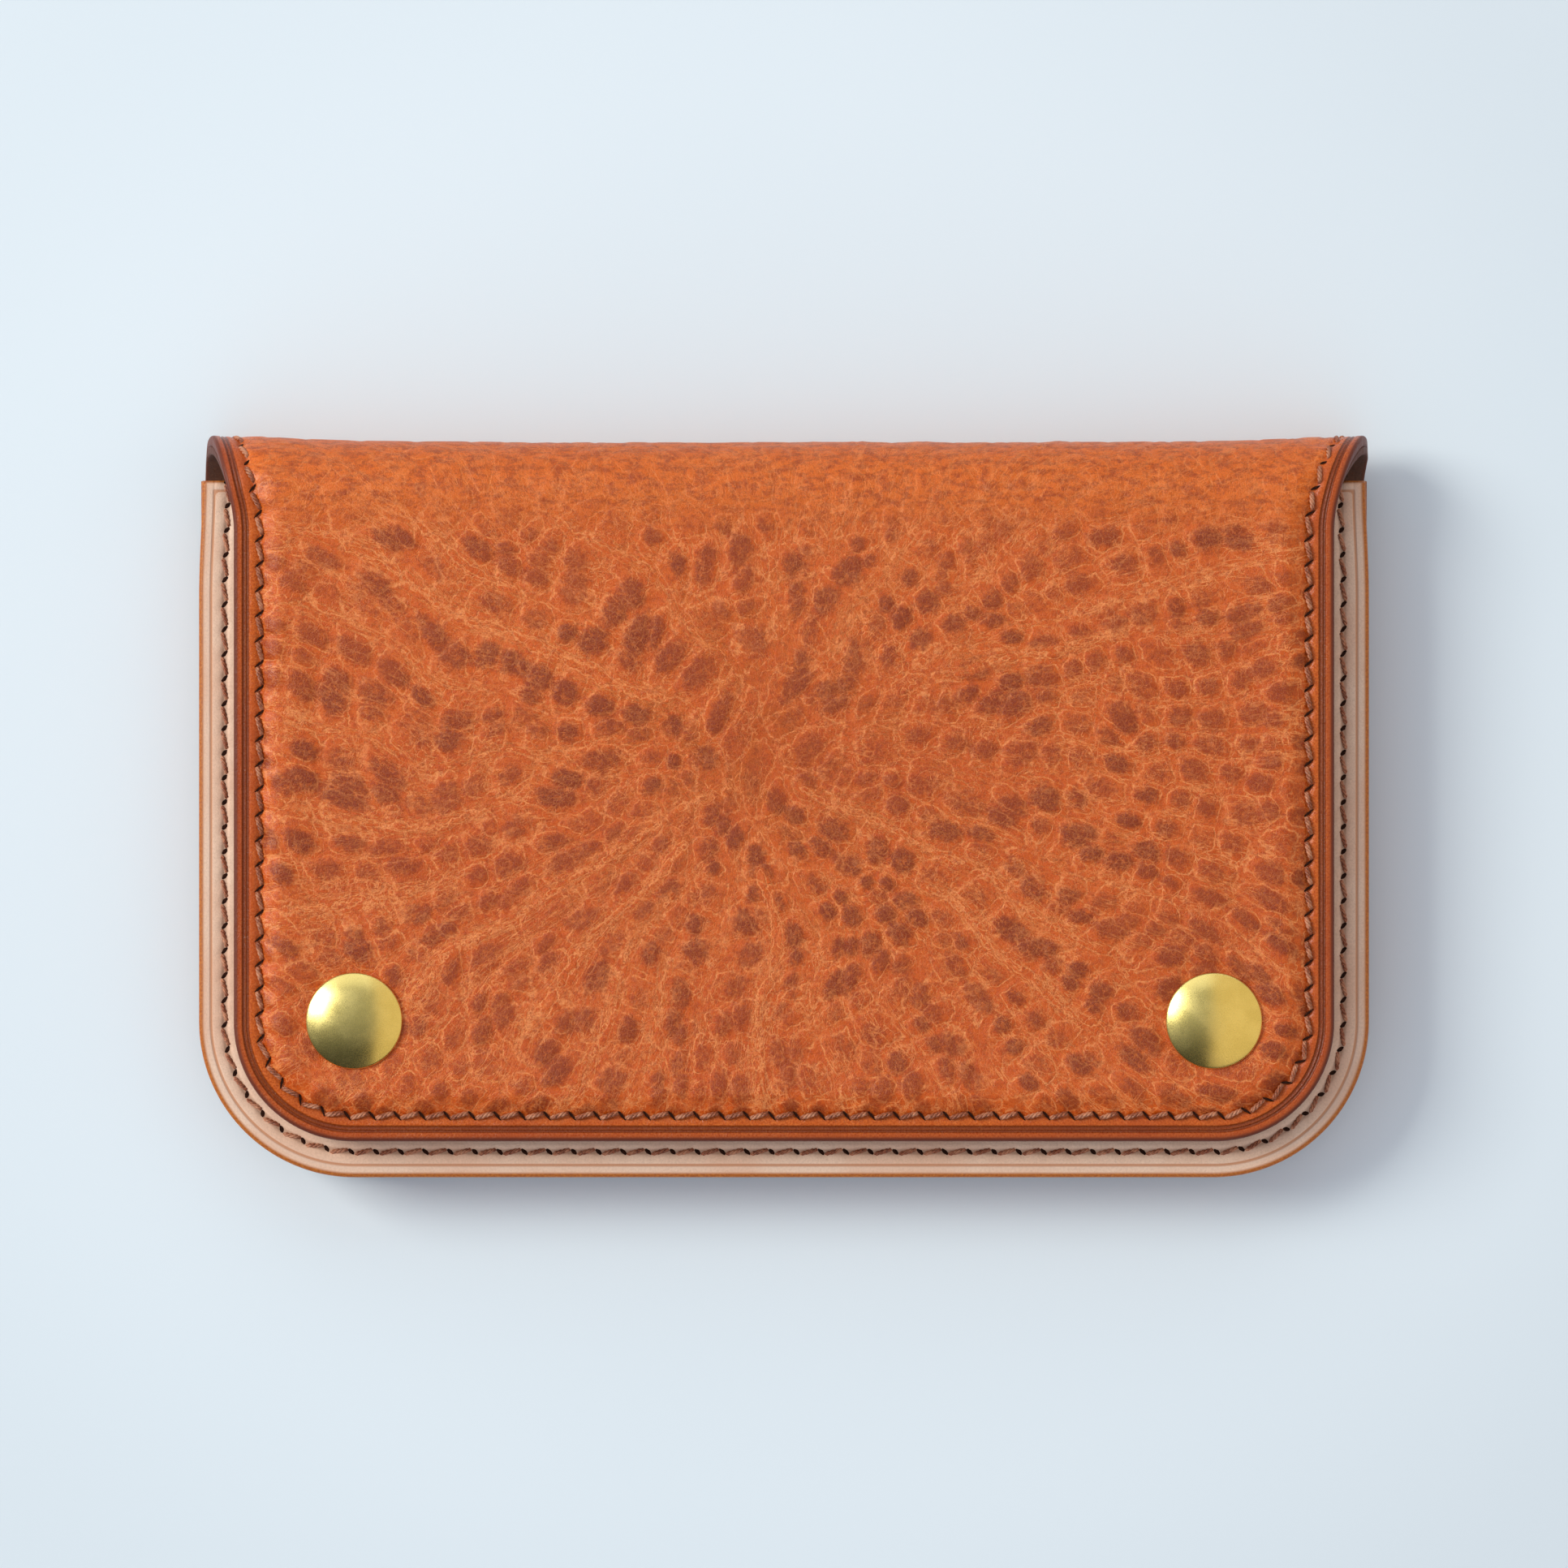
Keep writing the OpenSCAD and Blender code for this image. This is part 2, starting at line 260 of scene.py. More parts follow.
# ---- meshes
def add_layers(mesh, attributes):
    """Writes float or vector point attributes."""
    for key, value in attributes.items():
        value = np.asarray(value, np.float32)
        kind, field = ("FLOAT", "value") if value.ndim == 1 else ("FLOAT_VECTOR", "vector")
        mesh.attributes.new(key, kind, "POINT").data.foreach_set(field, value.ravel())


def add_object(name, data):
    obj = bpy.data.objects.new(name, data)
    bpy.context.scene.collection.objects.link(obj)
    return obj


def new_mesh(name, verts, faces, materials, attributes=None, face_material=None):
    """A smooth mesh object from points in millimetres."""
    mesh = bpy.data.meshes.new(name)
    mesh.from_pydata((np.asarray(verts) * MM).tolist(), [], [list(map(int, f)) for f in faces])
    for material in materials:
        mesh.materials.append(material)
    if face_material is not None:
        mesh.polygons.foreach_set("material_index", np.asarray(face_material, np.int32))
    add_layers(mesh, attributes or {})
    mesh.polygons.foreach_set("use_smooth", np.ones(len(mesh.polygons), bool))
    mesh.update()
    return add_object(name, mesh)


def shell_place(x, u, d):
    """Shell point at x across, u along, and d out of the outer surface."""
    phi = np.clip(u / FOLD_MID_R, 0, math.pi)
    over = np.sin(phi) ** 2
    waist = FOLD_HOLLOW * over * (1 - np.abs(x / shell_half(u)) ** 5)
    x = x + FOLD_LEAN * over
    r = FOLD_R + d - waist
    y = np.where(u < 0, FOLD_Y + u, np.where(u > FOLD_LEN, FOLD_Y + FOLD_LEN - u,
                                             FOLD_Y + r * np.sin(phi)))
    z = np.where(u < 0, -d, np.where(u > FOLD_LEN, TOTAL_T + d, FOLD_Z - r * np.cos(phi)))
    return np.stack([x, y, z], -1)


def turned_place(x, u, d):
    """The shell seen from its back's end: u grows from the fold towards the back's bottom edge."""
    return shell_place(-x, -u, d)


class Outline:
    """A sheet's outline: straight or tapering sides from start, and a rounded end.

    With a corner of 0 the sheet has two open sides and no end of its own.
    """

    def __init__(self, start, end, half, corner):
        self.start, self.end, self.half, self.corner = start, end, half, corner
        self.rounded = corner > 0
        self.side_end = end - corner
        self.end_flat = float(half(np.array(end))) - corner
        self.side_len = self.side_end - start
        self.arc_len = (corner - STITCH_IN) * math.pi / 2 if self.rounded else 0
        self.end_len = 2 * self.end_flat if self.rounded else 0
        self.path_len = 2 * (self.side_len + self.arc_len) + self.end_len

    def path_point(self, s, inset):
        """(x, u, tangent x, tangent u) at distance s along the seam, down the left side first."""
        if s > self.path_len / 2 and (self.rounded or s > self.side_len):
            x, u, tx, tu = self.path_point(self.path_len - s, inset)
            return -x, u, tx, -tu
        if s <= self.side_len:
            u = self.start + s
            slope = float(self.half(np.array(u + 0.4)) - self.half(np.array(u - 0.4))) / 0.8
            size = math.hypot(slope, 1)
            return -(float(self.half(np.array(u))) - inset), u, -slope / size, 1 / size
        if s <= self.side_len + self.arc_len:
            a = (s - self.side_len) / self.arc_len * math.pi / 2
            r = self.corner - inset
            x = -self.end_flat - r * math.cos(a)
            return x, self.side_end + r * math.sin(a), math.sin(a), math.cos(a)
        x = -self.end_flat + (s - self.side_len - self.arc_len)
        return x, self.end - inset, 1.0, 0.0

    def path_of(self, x, u):
        """Distance along the seam of the seam's point nearest to (x, u), and the inset there."""
        ax = np.abs(x)
        half = self.half(u)
        if not self.rounded:
            s = u - self.start
            return np.where(x < 0, s, self.path_len - s), half - ax
        cx, cu = ax - self.end_flat, u - self.side_end
        corner = (cx > 0) & (cu > 0)
        side_inset, end_inset = half - ax, self.end - u
        inset = np.where(corner, self.corner - np.hypot(cx, cu), np.minimum(side_inset, end_inset))
        a = np.arctan2(np.maximum(cu, 0), np.maximum(cx, 1e-6))
        on_end = ~corner & (end_inset < side_inset)
        s = np.where(corner, self.side_len + a / (math.pi / 2) * self.arc_len, u - self.start)
        s = np.where(on_end, self.path_len / 2 - ax, s)
        return np.where(x < 0, s, self.path_len - s), inset


class Sheet:
    """A sheet's points as they are made, each (x, u, depth, whether on the face), and its faces."""

    def __init__(self):
        self.points, self.faces, self.count = [], [], 0

    def add(self, x, u, depth, on_face):
        """Adds points and returns their numbers, in the shape of x."""
        depth, on_face = np.full(x.shape, depth), np.full(x.shape, float(on_face))
        self.points.append(np.stack([x, u, depth, on_face], -1).reshape(-1, 4))
        self.count += x.size
        return np.arange(self.count - x.size, self.count).reshape(x.shape)

    def join(self, *corners):
        """Adds quads, given the numbers of their four corners in turn."""
        self.faces += np.stack(corners, -1).reshape(-1, 4).tolist()


MOUTH_ROWS = np.array([0.05, 0.12, 0.22, 0.34])


def sheet_rows(outline, step, arc_steps, band_in, fine_mouth):
    """Rows of a sheet's core inside band_in: u, half widths, and the border's outward directions."""
    n = max(2, math.ceil(outline.side_len / step))
    u = np.linspace(outline.start, outline.side_end, n + 1)
    if fine_mouth:
        u = np.insert(u, 1, outline.start + MOUTH_ROWS)
    half = outline.half(u) - band_in
    nx, nu = np.ones(len(u)), np.zeros(len(u))
    if outline.rounded:
        a = np.linspace(0, math.pi / 2, arc_steps + 1)[1:]
        r = outline.corner - band_in
        u = np.concatenate([u, outline.side_end + r * np.sin(a)])
        half = np.concatenate([half, outline.end_flat + r * np.cos(a)])
        nx, nu = np.concatenate([nx, np.cos(a)]), np.concatenate([nu, np.sin(a)])
    return u, half, nx, nu


def edge_loops(outline, top, nx, nu):
    """The core's border, as point numbers with outward directions: one loop, or two open sides."""
    sides = [(top[:, 0], -nx, nu), (top[::-1, -1], nx[::-1], nu[::-1])]
    if not outline.rounded:
        return sides
    end = top[-1, 1:-1]
    middle = (end, np.zeros(len(end)), np.ones(len(end)))
    return [tuple(np.concatenate(parts) for parts in zip(sides[0], middle, sides[1]))]


def close_sheet(sheet, top, grid, thickness, loop, last, ends):
    """Adds the underside, the mouth's edge, and the ends of the edge band at the mouth."""
    under = sheet.add(*grid, -thickness, False)
    inner = under.ravel()[loop]
    sheet.join(last[:-1], inner[:-1], inner[1:], last[1:])
    sheet.join(under[:-1, :-1], under[:-1, 1:], under[1:, 1:], under[1:, :-1])
    sheet.join(top[0, :-1], top[0, 1:], under[0, 1:], under[0, :-1])
    sheet.faces.append([top[0, 0], under[0, 0]] + [end[0] for end in reversed(ends)])
    sheet.faces.append([top[0, -1]] + [end[1] for end in ends] + [under[0, -1]])


def make_sheet(name, outline, place, face, rings, material, step=0.32, cols=300, arc_steps=42,
               band_in=BAND_IN, flat=None, closed=0.0):
    """A sheet with a fine face, a shaped edge band and its underside's rim.

    A sheet of the thickness closed also gets the rest of its underside and its mouth's edge.

    face(x, u, inset, path) gives the face's height; rings is a list of (inset, depth, on_face)
    from the band's inner side outwards, round the edge and back in under the sheet.
    """
    u, half, nx, nu = sheet_rows(outline, step, arc_steps, band_in, closed > 0)
    grid = half[:, None] * np.linspace(-1, 1, cols + 1), np.repeat(u[:, None], cols + 1, 1)
    sheet = Sheet()
    top = sheet.add(*grid, 0.0, True)
    sheet.join(top[:-1, :-1], top[1:, :-1], top[1:, 1:], top[:-1, 1:])
    ends = []
    for loop, out_x, out_u in edge_loops(outline, top, nx, nu):
        x, u = grid[0].ravel()[loop], grid[1].ravel()[loop]
        last = loop
        for inset, depth, on_face in rings[:-1] if closed else rings:
            out = band_in - inset
            row = sheet.add(x + out_x * out, u + out_u * out, depth, on_face)
            sheet.join(last[:-1], row[:-1], row[1:], last[1:])
            ends.append((row[0], row[-1]))
            last = row
    if closed:
        close_sheet(sheet, top, grid, closed, loop, last, ends)
    x, u, d, on_face = np.concatenate(sheet.points).T
    on_face = on_face > 0.5
    path, inset = outline.path_of(x, u)
    verts = place(x, u, d + np.where(on_face, face(x, u, inset, path), 0))
    if closed:
        from_mouth = u - outline.start
        inset = np.where(from_mouth < 2.0, np.minimum(inset, from_mouth + 0.25), inset)
    flat_x, flat_y = flat(x, u) if flat else (x, u)
    attributes = {"edge": np.where(on_face, inset, -0.2),
                  "flat": np.stack([flat_x, flat_y, 0 * flat_x], -1)}
    return new_mesh(name, verts, sheet.faces, [material], attributes), x, u


# ---- node helpers
class Tree:
    """Short forms for building the nodes of a material or world."""

    def __init__(self, owner):
        owner.use_nodes = True
        self.owner, self.tree = owner, owner.node_tree
        self.tree.nodes.clear()

    def add(self, kind, **settings):
        node = self.tree.nodes.new(kind)
        for key, value in settings.items():
            setattr(node, key, value)
        return node

    def put(self, socket, value):
        if hasattr(value, "links"):
            self.tree.links.new(value, socket)
        else:
            socket.default_value = value

    def field(self, name, output="Fac"):
        return self.add("ShaderNodeAttribute", attribute_name=name).outputs[output]

    def fill(self, node, **values):
        """Links or sets inputs by name, with _ for each space, and returns the node's output."""
        for key, value in values.items():
            self.put(node.inputs[key.replace("_", " ")], value)
        return node.outputs[0]

    def of(self, node, *values):
        """Links or sets the node's inputs in turn, and returns its output."""
        for socket, value in zip(node.inputs, values):
            self.put(socket, value)
        return node.outputs[0]

    def math(self, operation, a, b=0.0):
        return self.of(self.add("ShaderNodeMath", operation=operation), a, b)

    def vector(self, operation, *values):
        return self.of(self.add("ShaderNodeVectorMath", operation=operation), *values)

    times = partialmethod(math, "MULTIPLY")
    plus = partialmethod(math, "ADD")
    minus = partialmethod(math, "SUBTRACT")
    most = partialmethod(math, "MAXIMUM")
    scaled = partialmethod(vector, "MULTIPLY")

    def apart(self, a, b):
        return self.math("ABSOLUTE", self.minus(a, b))

    def span(self, value, low, high, to_low=0.0, to_high=1.0, smoothly=True):
        node = self.add("ShaderNodeMapRange",
                        interpolation_type="SMOOTHSTEP" if smoothly else "LINEAR")
        return self.of(node, value, low, high, to_low, to_high)

    def mix(self, factor, a, b):
        node = self.add("ShaderNodeMix", data_type="RGBA")
        for socket, value in zip((node.inputs[0], node.inputs[6], node.inputs[7]), (factor, a, b)):
            self.put(socket, value)
        return node.outputs[2]

    def shade(self, value, low, high, first, second):
        """From one 8-bit sRGB colour to another as value goes from low to high."""
        return self.mix(self.span(value, low, high), srgb(first), srgb(second))

    def layers(self, color, *over):
        """The colour with more laid over it, each a mask and an 8-bit sRGB colour."""
        for mask, paint in over:
            color = self.mix(mask, color, srgb(paint))
        return color

    def parts(self, vector):
        """The outputs for a vector's x, y and z."""
        node = self.add("ShaderNodeSeparateXYZ")
        self.of(node, vector)
        return node.outputs

    def noise(self, vector, scale, detail=3.0, roughness=0.55, output=0):
        node = self.add("ShaderNodeTexNoise")
        self.fill(node, Vector=vector, Scale=scale, Detail=detail, Roughness=roughness)
        return node.outputs[output]

    def crackle(self, vector, scale):
        """Distance to the edges of random cells."""
        node = self.add("ShaderNodeTexVoronoi", feature="DISTANCE_TO_EDGE")
        return self.fill(node, Vector=vector, Scale=scale)

    def warped(self, vector, scale, amount):
        """The vector, moved about by noise."""
        shift = self.vector("SUBTRACT", self.noise(vector, scale, 2.0, 0.5, 1), (0.5,) * 3)
        return self.vector("MULTIPLY_ADD", shift, (amount,) * 3, vector)

    def bump(self, height, strength, distance):
        return self.fill(self.add("ShaderNodeBump"), Strength=strength, Distance=distance,
                         Height=height)

    def finish(self, color, roughness, normal=None, specular=0.5, metallic=0.0):
        self.fill(self.shader, Base_Color=color, Roughness=roughness, Metallic=metallic,
                  Specular_IOR_Level=specular)
        if normal is not None:
            self.put(self.shader.inputs["Normal"], normal)
        return self.owner


def material_tree(name, shader="ShaderNodeBsdfPrincipled"):
    """The tree of a new material that holds one shader and its output."""
    t = Tree(bpy.data.materials.new(name))
    t.shader = t.add(shader)
    t.put(t.add("ShaderNodeOutputMaterial").inputs[0], t.shader.outputs[0])
    return t


def line_at(t, value, centre, width):
    """1 on a line of that width where value is centre, falling to 0 beside it."""
    return t.span(t.apart(value, centre), width * 0.25, width * 0.75, 1.0, 0.0)


def contour(t, value, level, width):
    """Thin lines where value crosses level."""
    return t.span(t.apart(value, level), 0.0, width, 1.0, 0.0)


# ---- materials
def wrinkle_lines(t, flat, fibres, fine, pad, bend):
    """Pale lines beside the pads' borders and along the ridges, stray fibres and fine cracks."""
    ridge, wander = t.field("ridge"), t.noise(flat, 0.45, 3.0, 0.6)
    breaks = t.noise(flat, 0.28, 2.0)
    border = contour(t, t.field("gap"), t.span(wander, 0.3, 0.7, 0.02, 1.05, False), 0.25)
    border = t.times(border, t.span(fibres, 0.36, 0.60, 0.25, 1.0))
    crest = contour(t, ridge, t.span(wander, 0.34, 0.66, 0.0, 0.85, False), 0.15)
    crest = t.most(crest, contour(t, ridge, t.span(fibres, 0.3, 0.7, 0.2, 1.7, False), 0.12))
    crest = t.times(crest, t.span(t.field("ridge_power"), 0.1, 0.5))
    stray = t.times(contour(t, fibres, 0.5, 0.028),
                    t.span(t.noise(flat, 0.20, 2.0), 0.42, 0.62, 0.05, 0.9))
    long_fibres = t.noise(t.field("flow", "Vector"), 0.55, 3.0, 0.6)
    longer = t.times(contour(t, long_fibres, 0.47, 0.020), t.span(breaks, 0.38, 0.60, 0.25, 1.0))
    wavy = t.warped(t.warped(flat, 0.30, 3.0), 1.3, 0.8)
    crack = t.times(t.span(t.crackle(wavy, 0.62), 0.0, 0.045, 1.0, 0.0),
                    t.span(breaks, 0.40, 0.58, 0.15, 0.85))
    tiny = t.times(t.span(t.crackle(t.warped(wavy, 2.2, 0.35), 1.35), 0.0, 0.07, 0.75, 0.0),
                   t.span(t.noise(flat, 0.33, 2.0), 0.42, 0.60, 0.1, 0.9))
    lines = reduce(t.most, (border, crest, stray, longer, crack, tiny))
    lines = t.times(lines, t.minus(1.0, t.times(pad, 0.60)))
    lines = t.times(lines, t.minus(1.0, t.times(bend, 0.50)))
    return t.times(lines, t.span(fine, 0.32, 0.58, 0.35, 1.0))


def shell_leather():
    t = material_tree("shell_leather")
    flat, edge, bend = t.field("flat", "Vector"), t.field("edge"), t.field("bend")
    ragged = t.minus(t.noise(flat, 0.75, 4.0, 0.7), 0.5)
    pad = t.span(t.plus(t.field("pad"), t.times(ragged, 1.1)), 0.10, 1.0)
    fibres = t.noise(t.field("flow", "Vector"), 1.25, 4.0, 0.65)
    fine = t.noise(flat, 4.6, 3.0, 0.75)
    pepper = t.noise(flat, 8.5, 2.0, 0.7)
    broad = t.noise(flat, 0.045, 2.0)
    mottle = t.noise(flat, 1.5, 3.0, 0.7)
    pebble = t.crackle(t.warped(flat, 1.5, 0.5), 2.1)
    lines = wrinkle_lines(t, flat, fibres, fine, pad, bend)
    halo = t.times(t.span(t.field("ridge"), 0.2, 2.2, 1.0, 0.0), t.field("ridge_power"))
    halo = t.most(halo, t.span(t.field("gap"), 0.1, 1.7, 0.75, 0.0))
    halo = t.times(halo, t.minus(1.0, t.times(bend, 0.5)))
    streaks = t.noise(t.scaled(flat, (0.55, 1.25, 1.0)), 1.0, 5.0, 0.72)
    streaks = t.times(t.span(streaks, 0.44, 0.62, 0.0, 0.85), bend)
    depth = t.span(t.noise(flat, 0.05, 1.0), 0.36, 0.60, 0.64, 1.0)
    color = t.layers(
        t.shade(broad, 0.35, 0.65, (196, 73, 6), (208, 83, 10)),
        (t.times(halo, 0.45), (224, 90, 8)),
        # painted light: the flap's leather lighter towards the fold, where more light falls on it
        (t.span(t.parts(flat)[1], 2.0, 34.0, 0.0, 0.35), (228, 100, 20)),
        # painted light: the fold lighter, as its curved face turns up into the light
        (t.times(bend, 0.62), (232, 110, 20)),
        (t.times(t.times(pad, depth), 0.92), (132, 42, 4)),
        (streaks, (168, 62, 8)),
        (t.times(lines, 0.90), (252, 156, 88)),
        (t.span(mottle, 0.50, 0.64, 0.0, 0.40), (158, 54, 4)),
        (t.span(mottle, 0.36, 0.48, 0.30, 0.0), (232, 108, 28)),
        (t.span(pepper, 0.30, 0.47, 0.50, 0.0), (140, 44, 2)),
        (t.span(fine, 0.55, 0.74, 0.0, 0.42), (250, 130, 26)),
        (t.span(pebble, 0.0, 0.10, 0.14, 0.0), (242, 130, 40)))
    # the border outside the stitches is pressed smooth; crease lines and the edge are burnished, and
    # the band darkens towards the edge partly as burnish, partly as painted shade
    plain = t.layers(t.shade(fine, 0.35, 0.68, (180, 72, 12), (220, 106, 26)),
                     (t.span(broad, 0.4, 0.62, 0.0, 0.5), (176, 68, 24)))
    crease = t.most(line_at(t, edge, 1.40, 0.36), line_at(t, edge, 1.05, 0.36))
    rim = t.span(edge, 0.22, 0.56, 1.0, 0.0)
    color = t.layers(
        t.mix(t.span(edge, 2.5, 2.9, 0.85, 0.0), color, plain),
        # painted shade with the burnish: darker towards the edge, where it rounds away from the light
        (t.span(edge, 0.35, 1.45, 0.42, 0.0), (128, 46, 24)),
        (t.times(crease, 0.70), (86, 28, 8)),
        (rim, (110, 40, 10)))
    height = reduce(t.plus, (
        t.times(lines, -0.55), t.times(fine, 0.8), t.times(pepper, 0.55),
        t.span(pebble, 0.0, 0.16, 0.0, 0.2), t.times(fibres, 0.5)))
    height = t.times(height, t.span(edge, 2.8, 6.0, 0.35, 1.0))
    height = t.minus(height, t.times(crease, 0.8))
    normal = t.bump(height, 0.68, 0.00016)
    rough = t.plus(t.span(fine, 0.3, 0.75, 0.24, 0.38), t.span(edge, 3.0, 6.5, 0.0, 0.09))
    rough = t.plus(rough, t.times(rim, 0.15))
    return t.finish(color, rough, normal, specular=0.36)


def natural_leather(name, crease_power):
    t = material_tree(name)
    flat, edge = t.field("flat", "Vector"), t.field("edge")
    fine = t.noise(flat, 4.2, 5.0, 0.7)
    cloud = t.noise(flat, 0.11, 3.0)
    pores = t.crackle(t.warped(flat, 1.2, 0.5), 2.3)
    crease = line_at(t, edge, 1.28, 0.27)
    # painted highlight: a pale band between the crease and the edge
    painted_highlight_band = line_at(t, edge, 1.02, 0.42)
    rim = t.span(edge, 0.30, 0.66, 1.0, 0.0)
    color = t.layers(
        t.shade(cloud, 0.3, 0.7, (245, 193, 160), (253, 211, 180)),
        (t.span(fine, 0.35, 0.75, 0.0, 0.45), (206, 158, 126)),
        (t.span(pores, 0.0, 0.08, 0.05, 0.0), (176, 128, 98)),
        (t.times(crease, crease_power), (204, 130, 84)),
        (t.times(painted_highlight_band, 0.25), (236, 205, 184)),
        (t.span(t.apart(edge, STITCH_IN), 0.12, 0.42, 0.5, 0.0), (150, 98, 66)))
    color = t.mix(rim, color, t.shade(fine, 0.35, 0.7, (170, 84, 20), (204, 118, 40)))
    height = t.plus(t.times(fine, 0.5), t.span(pores, 0.0, 0.1, 0.0, 0.25))
    normal = t.bump(t.minus(height, crease), 0.35, 0.00008)
    rough = t.minus(t.span(fine, 0.3, 0.7, 0.5, 0.62), t.times(rim, 0.22))
    return t.finish(color, rough, normal, specular=0.4)


def lining_leather():
    t = material_tree("lining_leather")
    flat, edge = t.field("flat", "Vector"), t.field("edge")
    fine = t.noise(flat, 3.4, 5.0, 0.68)
    cloud = t.noise(flat, 0.09, 3.0)
    pores = t.crackle(t.warped(flat, 0.9, 0.6), 1.7)
    color = t.layers(
        t.shade(cloud, 0.3, 0.7, (78, 47, 32), (96, 60, 42)),
        (t.span(pores, 0.0, 0.12, 0.18, 0.0), (52, 30, 20)),
        (t.span(fine, 0.4, 0.75, 0.0, 0.35), (120, 80, 58)),
        (t.span(edge, 0.1, 0.5, 1.0, 0.0), (96, 44, 22)))
    height = t.plus(t.times(fine, 0.5), t.span(pores, 0.0, 0.14, 0.0, 0.3))
    normal = t.bump(height, 0.4, 0.0001)
    return t.finish(color, t.span(fine, 0.3, 0.7, 0.48, 0.66), normal, specular=0.35)


def thread():
    t = material_tree("thread")
    flat = t.field("flat", "Vector")
    strands = t.noise(t.scaled(flat, (1.0, 5.0, 5.0)), 3.0, 3.0, 0.6)
    # painted highlight: pale tan patches laid on the thread as its glints
    painted_thread_highlight = t.noise(flat, 0.8, 2.0)
    color = t.layers(t.shade(strands, 0.35, 0.7, (104, 44, 20), (198, 108, 66)),
                     (t.span(painted_thread_highlight, 0.42, 0.66, 0.0, 0.55), (230, 158, 116)))
    normal = t.bump(strands, 0.6, 0.00006)
    return t.finish(color, t.span(strands, 0.3, 0.7, 0.36, 0.55), normal, specular=0.6)


def stitch_hole_shade():
    t = material_tree("stitch_hole_shade")
    flat = t.field("flat", "Vector")
    shade_mottle = t.noise(flat, 3.0, 2.0)
    # painted shade: a near-black lens stands for the shadowed depth of each awl hole
    color = t.shade(shade_mottle, 0.3, 0.7, (30, 13, 7), (58, 26, 14))
    return t.finish(color, 0.9, t.bump(shade_mottle, 0.3, 0.00005), specular=0.1)


def object_space(t):
    """The object's own coordinates, in millimetres."""
    return t.scaled(t.add("ShaderNodeTexCoord").outputs["Object"], (1 / MM,) * 3)


def brass():
    t = material_tree("snap_brass")
    here = object_space(t)
    grit = t.noise(here, 11.0, 4.0, 0.7)
    cloud = t.noise(here, 0.35, 3.0)
    pits = t.crackle(t.warped(here, 2.0, 0.3), 4.0)
    color = t.mix(t.span(cloud, 0.35, 0.65), (0.83, 0.655, 0.215, 1), (0.93, 0.74, 0.26, 1))
    color = t.mix(t.span(pits, 0.0, 0.05, 0.22, 0.0), color, (0.42, 0.32, 0.11, 1))
    rough = t.plus(t.span(grit, 0.3, 0.7, 0.20, 0.34),
                   t.times(t.span(cloud, 0.4, 0.7), 0.05))
    return t.finish(color, rough, t.bump(grit, 0.07, 0.00002), metallic=1.0)


def steel():
    t = material_tree("spring_steel")
    here = object_space(t)
    drawn = t.noise(t.scaled(here, (2.0, 2.0, 9.0)), 2.0, 3.0)
    color = t.mix(t.span(drawn, 0.3, 0.7), (0.50, 0.50, 0.50, 1), (0.68, 0.67, 0.65, 1))
    return t.finish(color, t.span(drawn, 0.3, 0.7, 0.22, 0.4), t.bump(drawn, 0.15, 0.00003),
                    metallic=1.0)


def floor_paint():
    t = material_tree("floor_paint")
    here = t.add("ShaderNodeTexCoord").outputs["Object"]
    mottle = t.noise(here, 9.0, 2.0)
    color = t.mix(t.span(mottle, 0.3, 0.7), (0.80, 0.85, 0.87, 1), (0.815, 0.862, 0.88, 1))
    # painted shade: the floor darker away from the middle, as the light falls off towards the corners
    away = t.add("ShaderNodeVectorMath", operation="LENGTH")
    t.of(away, here)
    painted_falloff = t.span(away.outputs["Value"], 0.07, 0.115, 0.0, 0.5)
    color = t.mix(painted_falloff, color, (0.71, 0.757, 0.778, 1))
    return t.finish(color, 0.6, specular=0.3)


SHELL, LINING = shell_leather(), lining_leather()
NATURAL, GUSSET = natural_leather("natural_leather", 0.85), natural_leather("gusset_leather", 0.0)
THREAD, HOLE_SHADE, BRASS, STEEL = thread(), stitch_hole_shade(), brass(), steel()

# ---- shell: back, fold and flap
FOLD_CUTS = (FOLD_LEN / 3, 2 * FOLD_LEN / 3)


BAND_STEPS = (3.12, 2.95, 2.8, 2.65, 2.5, 2.35, 2.15, 1.9, 1.68, 1.5, 1.4, 1.3, 1.2, 1.12, 1.05,
              0.98, 0.88, 0.74, 0.6)
SHELL_CREASES = (1.40, 1.05)


def edge_rings(thickness, round_r, creases, crease_depth, band_in=BAND_IN):
    """Rings of the edge band: stitch channel, creases, rounded edge and underside rim."""
    rings = []
    for inset in [step for step in BAND_STEPS if step < band_in] + [round_r]:
        dip = -sum(crease_depth * math.exp(-(((inset - c) / 0.10) ** 2)) for c in creases)
        rings.append((inset, dip, True))
    for a in np.linspace(15, 90, 6):
        c, s = cos_sin(a)
        rings.append((round_r * (1 - s), -round_r * (1 - c), True))
    bevel = 0.12
    low = bevel - thickness
    for part in (0.35, 0.7, 1.0):
        rings.append((0.0, -round_r + (low + round_r) * part, False))
    return rings + [(bevel, -thickness, False), (band_in, -thickness, False)]


SHELL_PARTS = {
    # name: (outline, turned, blend from, blend to, blend start, blend end)
    "flap": (Outline(FOLD_CUTS[1], FLAP_END, shell_half, FLAP_CORNER), False,
             "fold_upper", "flap", FOLD_CUTS[1], FOLD_LEN),
    "fold": (Outline(FOLD_CUTS[0], FOLD_CUTS[1], shell_half, 0), False,
             "fold_lower", "fold_upper", FOLD_CUTS[0], FOLD_CUTS[1]),
    "back": (Outline(-FOLD_CUTS[0], BACK_END, lambda u: shell_half(-u), BODY_CORNER), True,
             "body", "fold_lower", 0, FOLD_CUTS[0]),
}


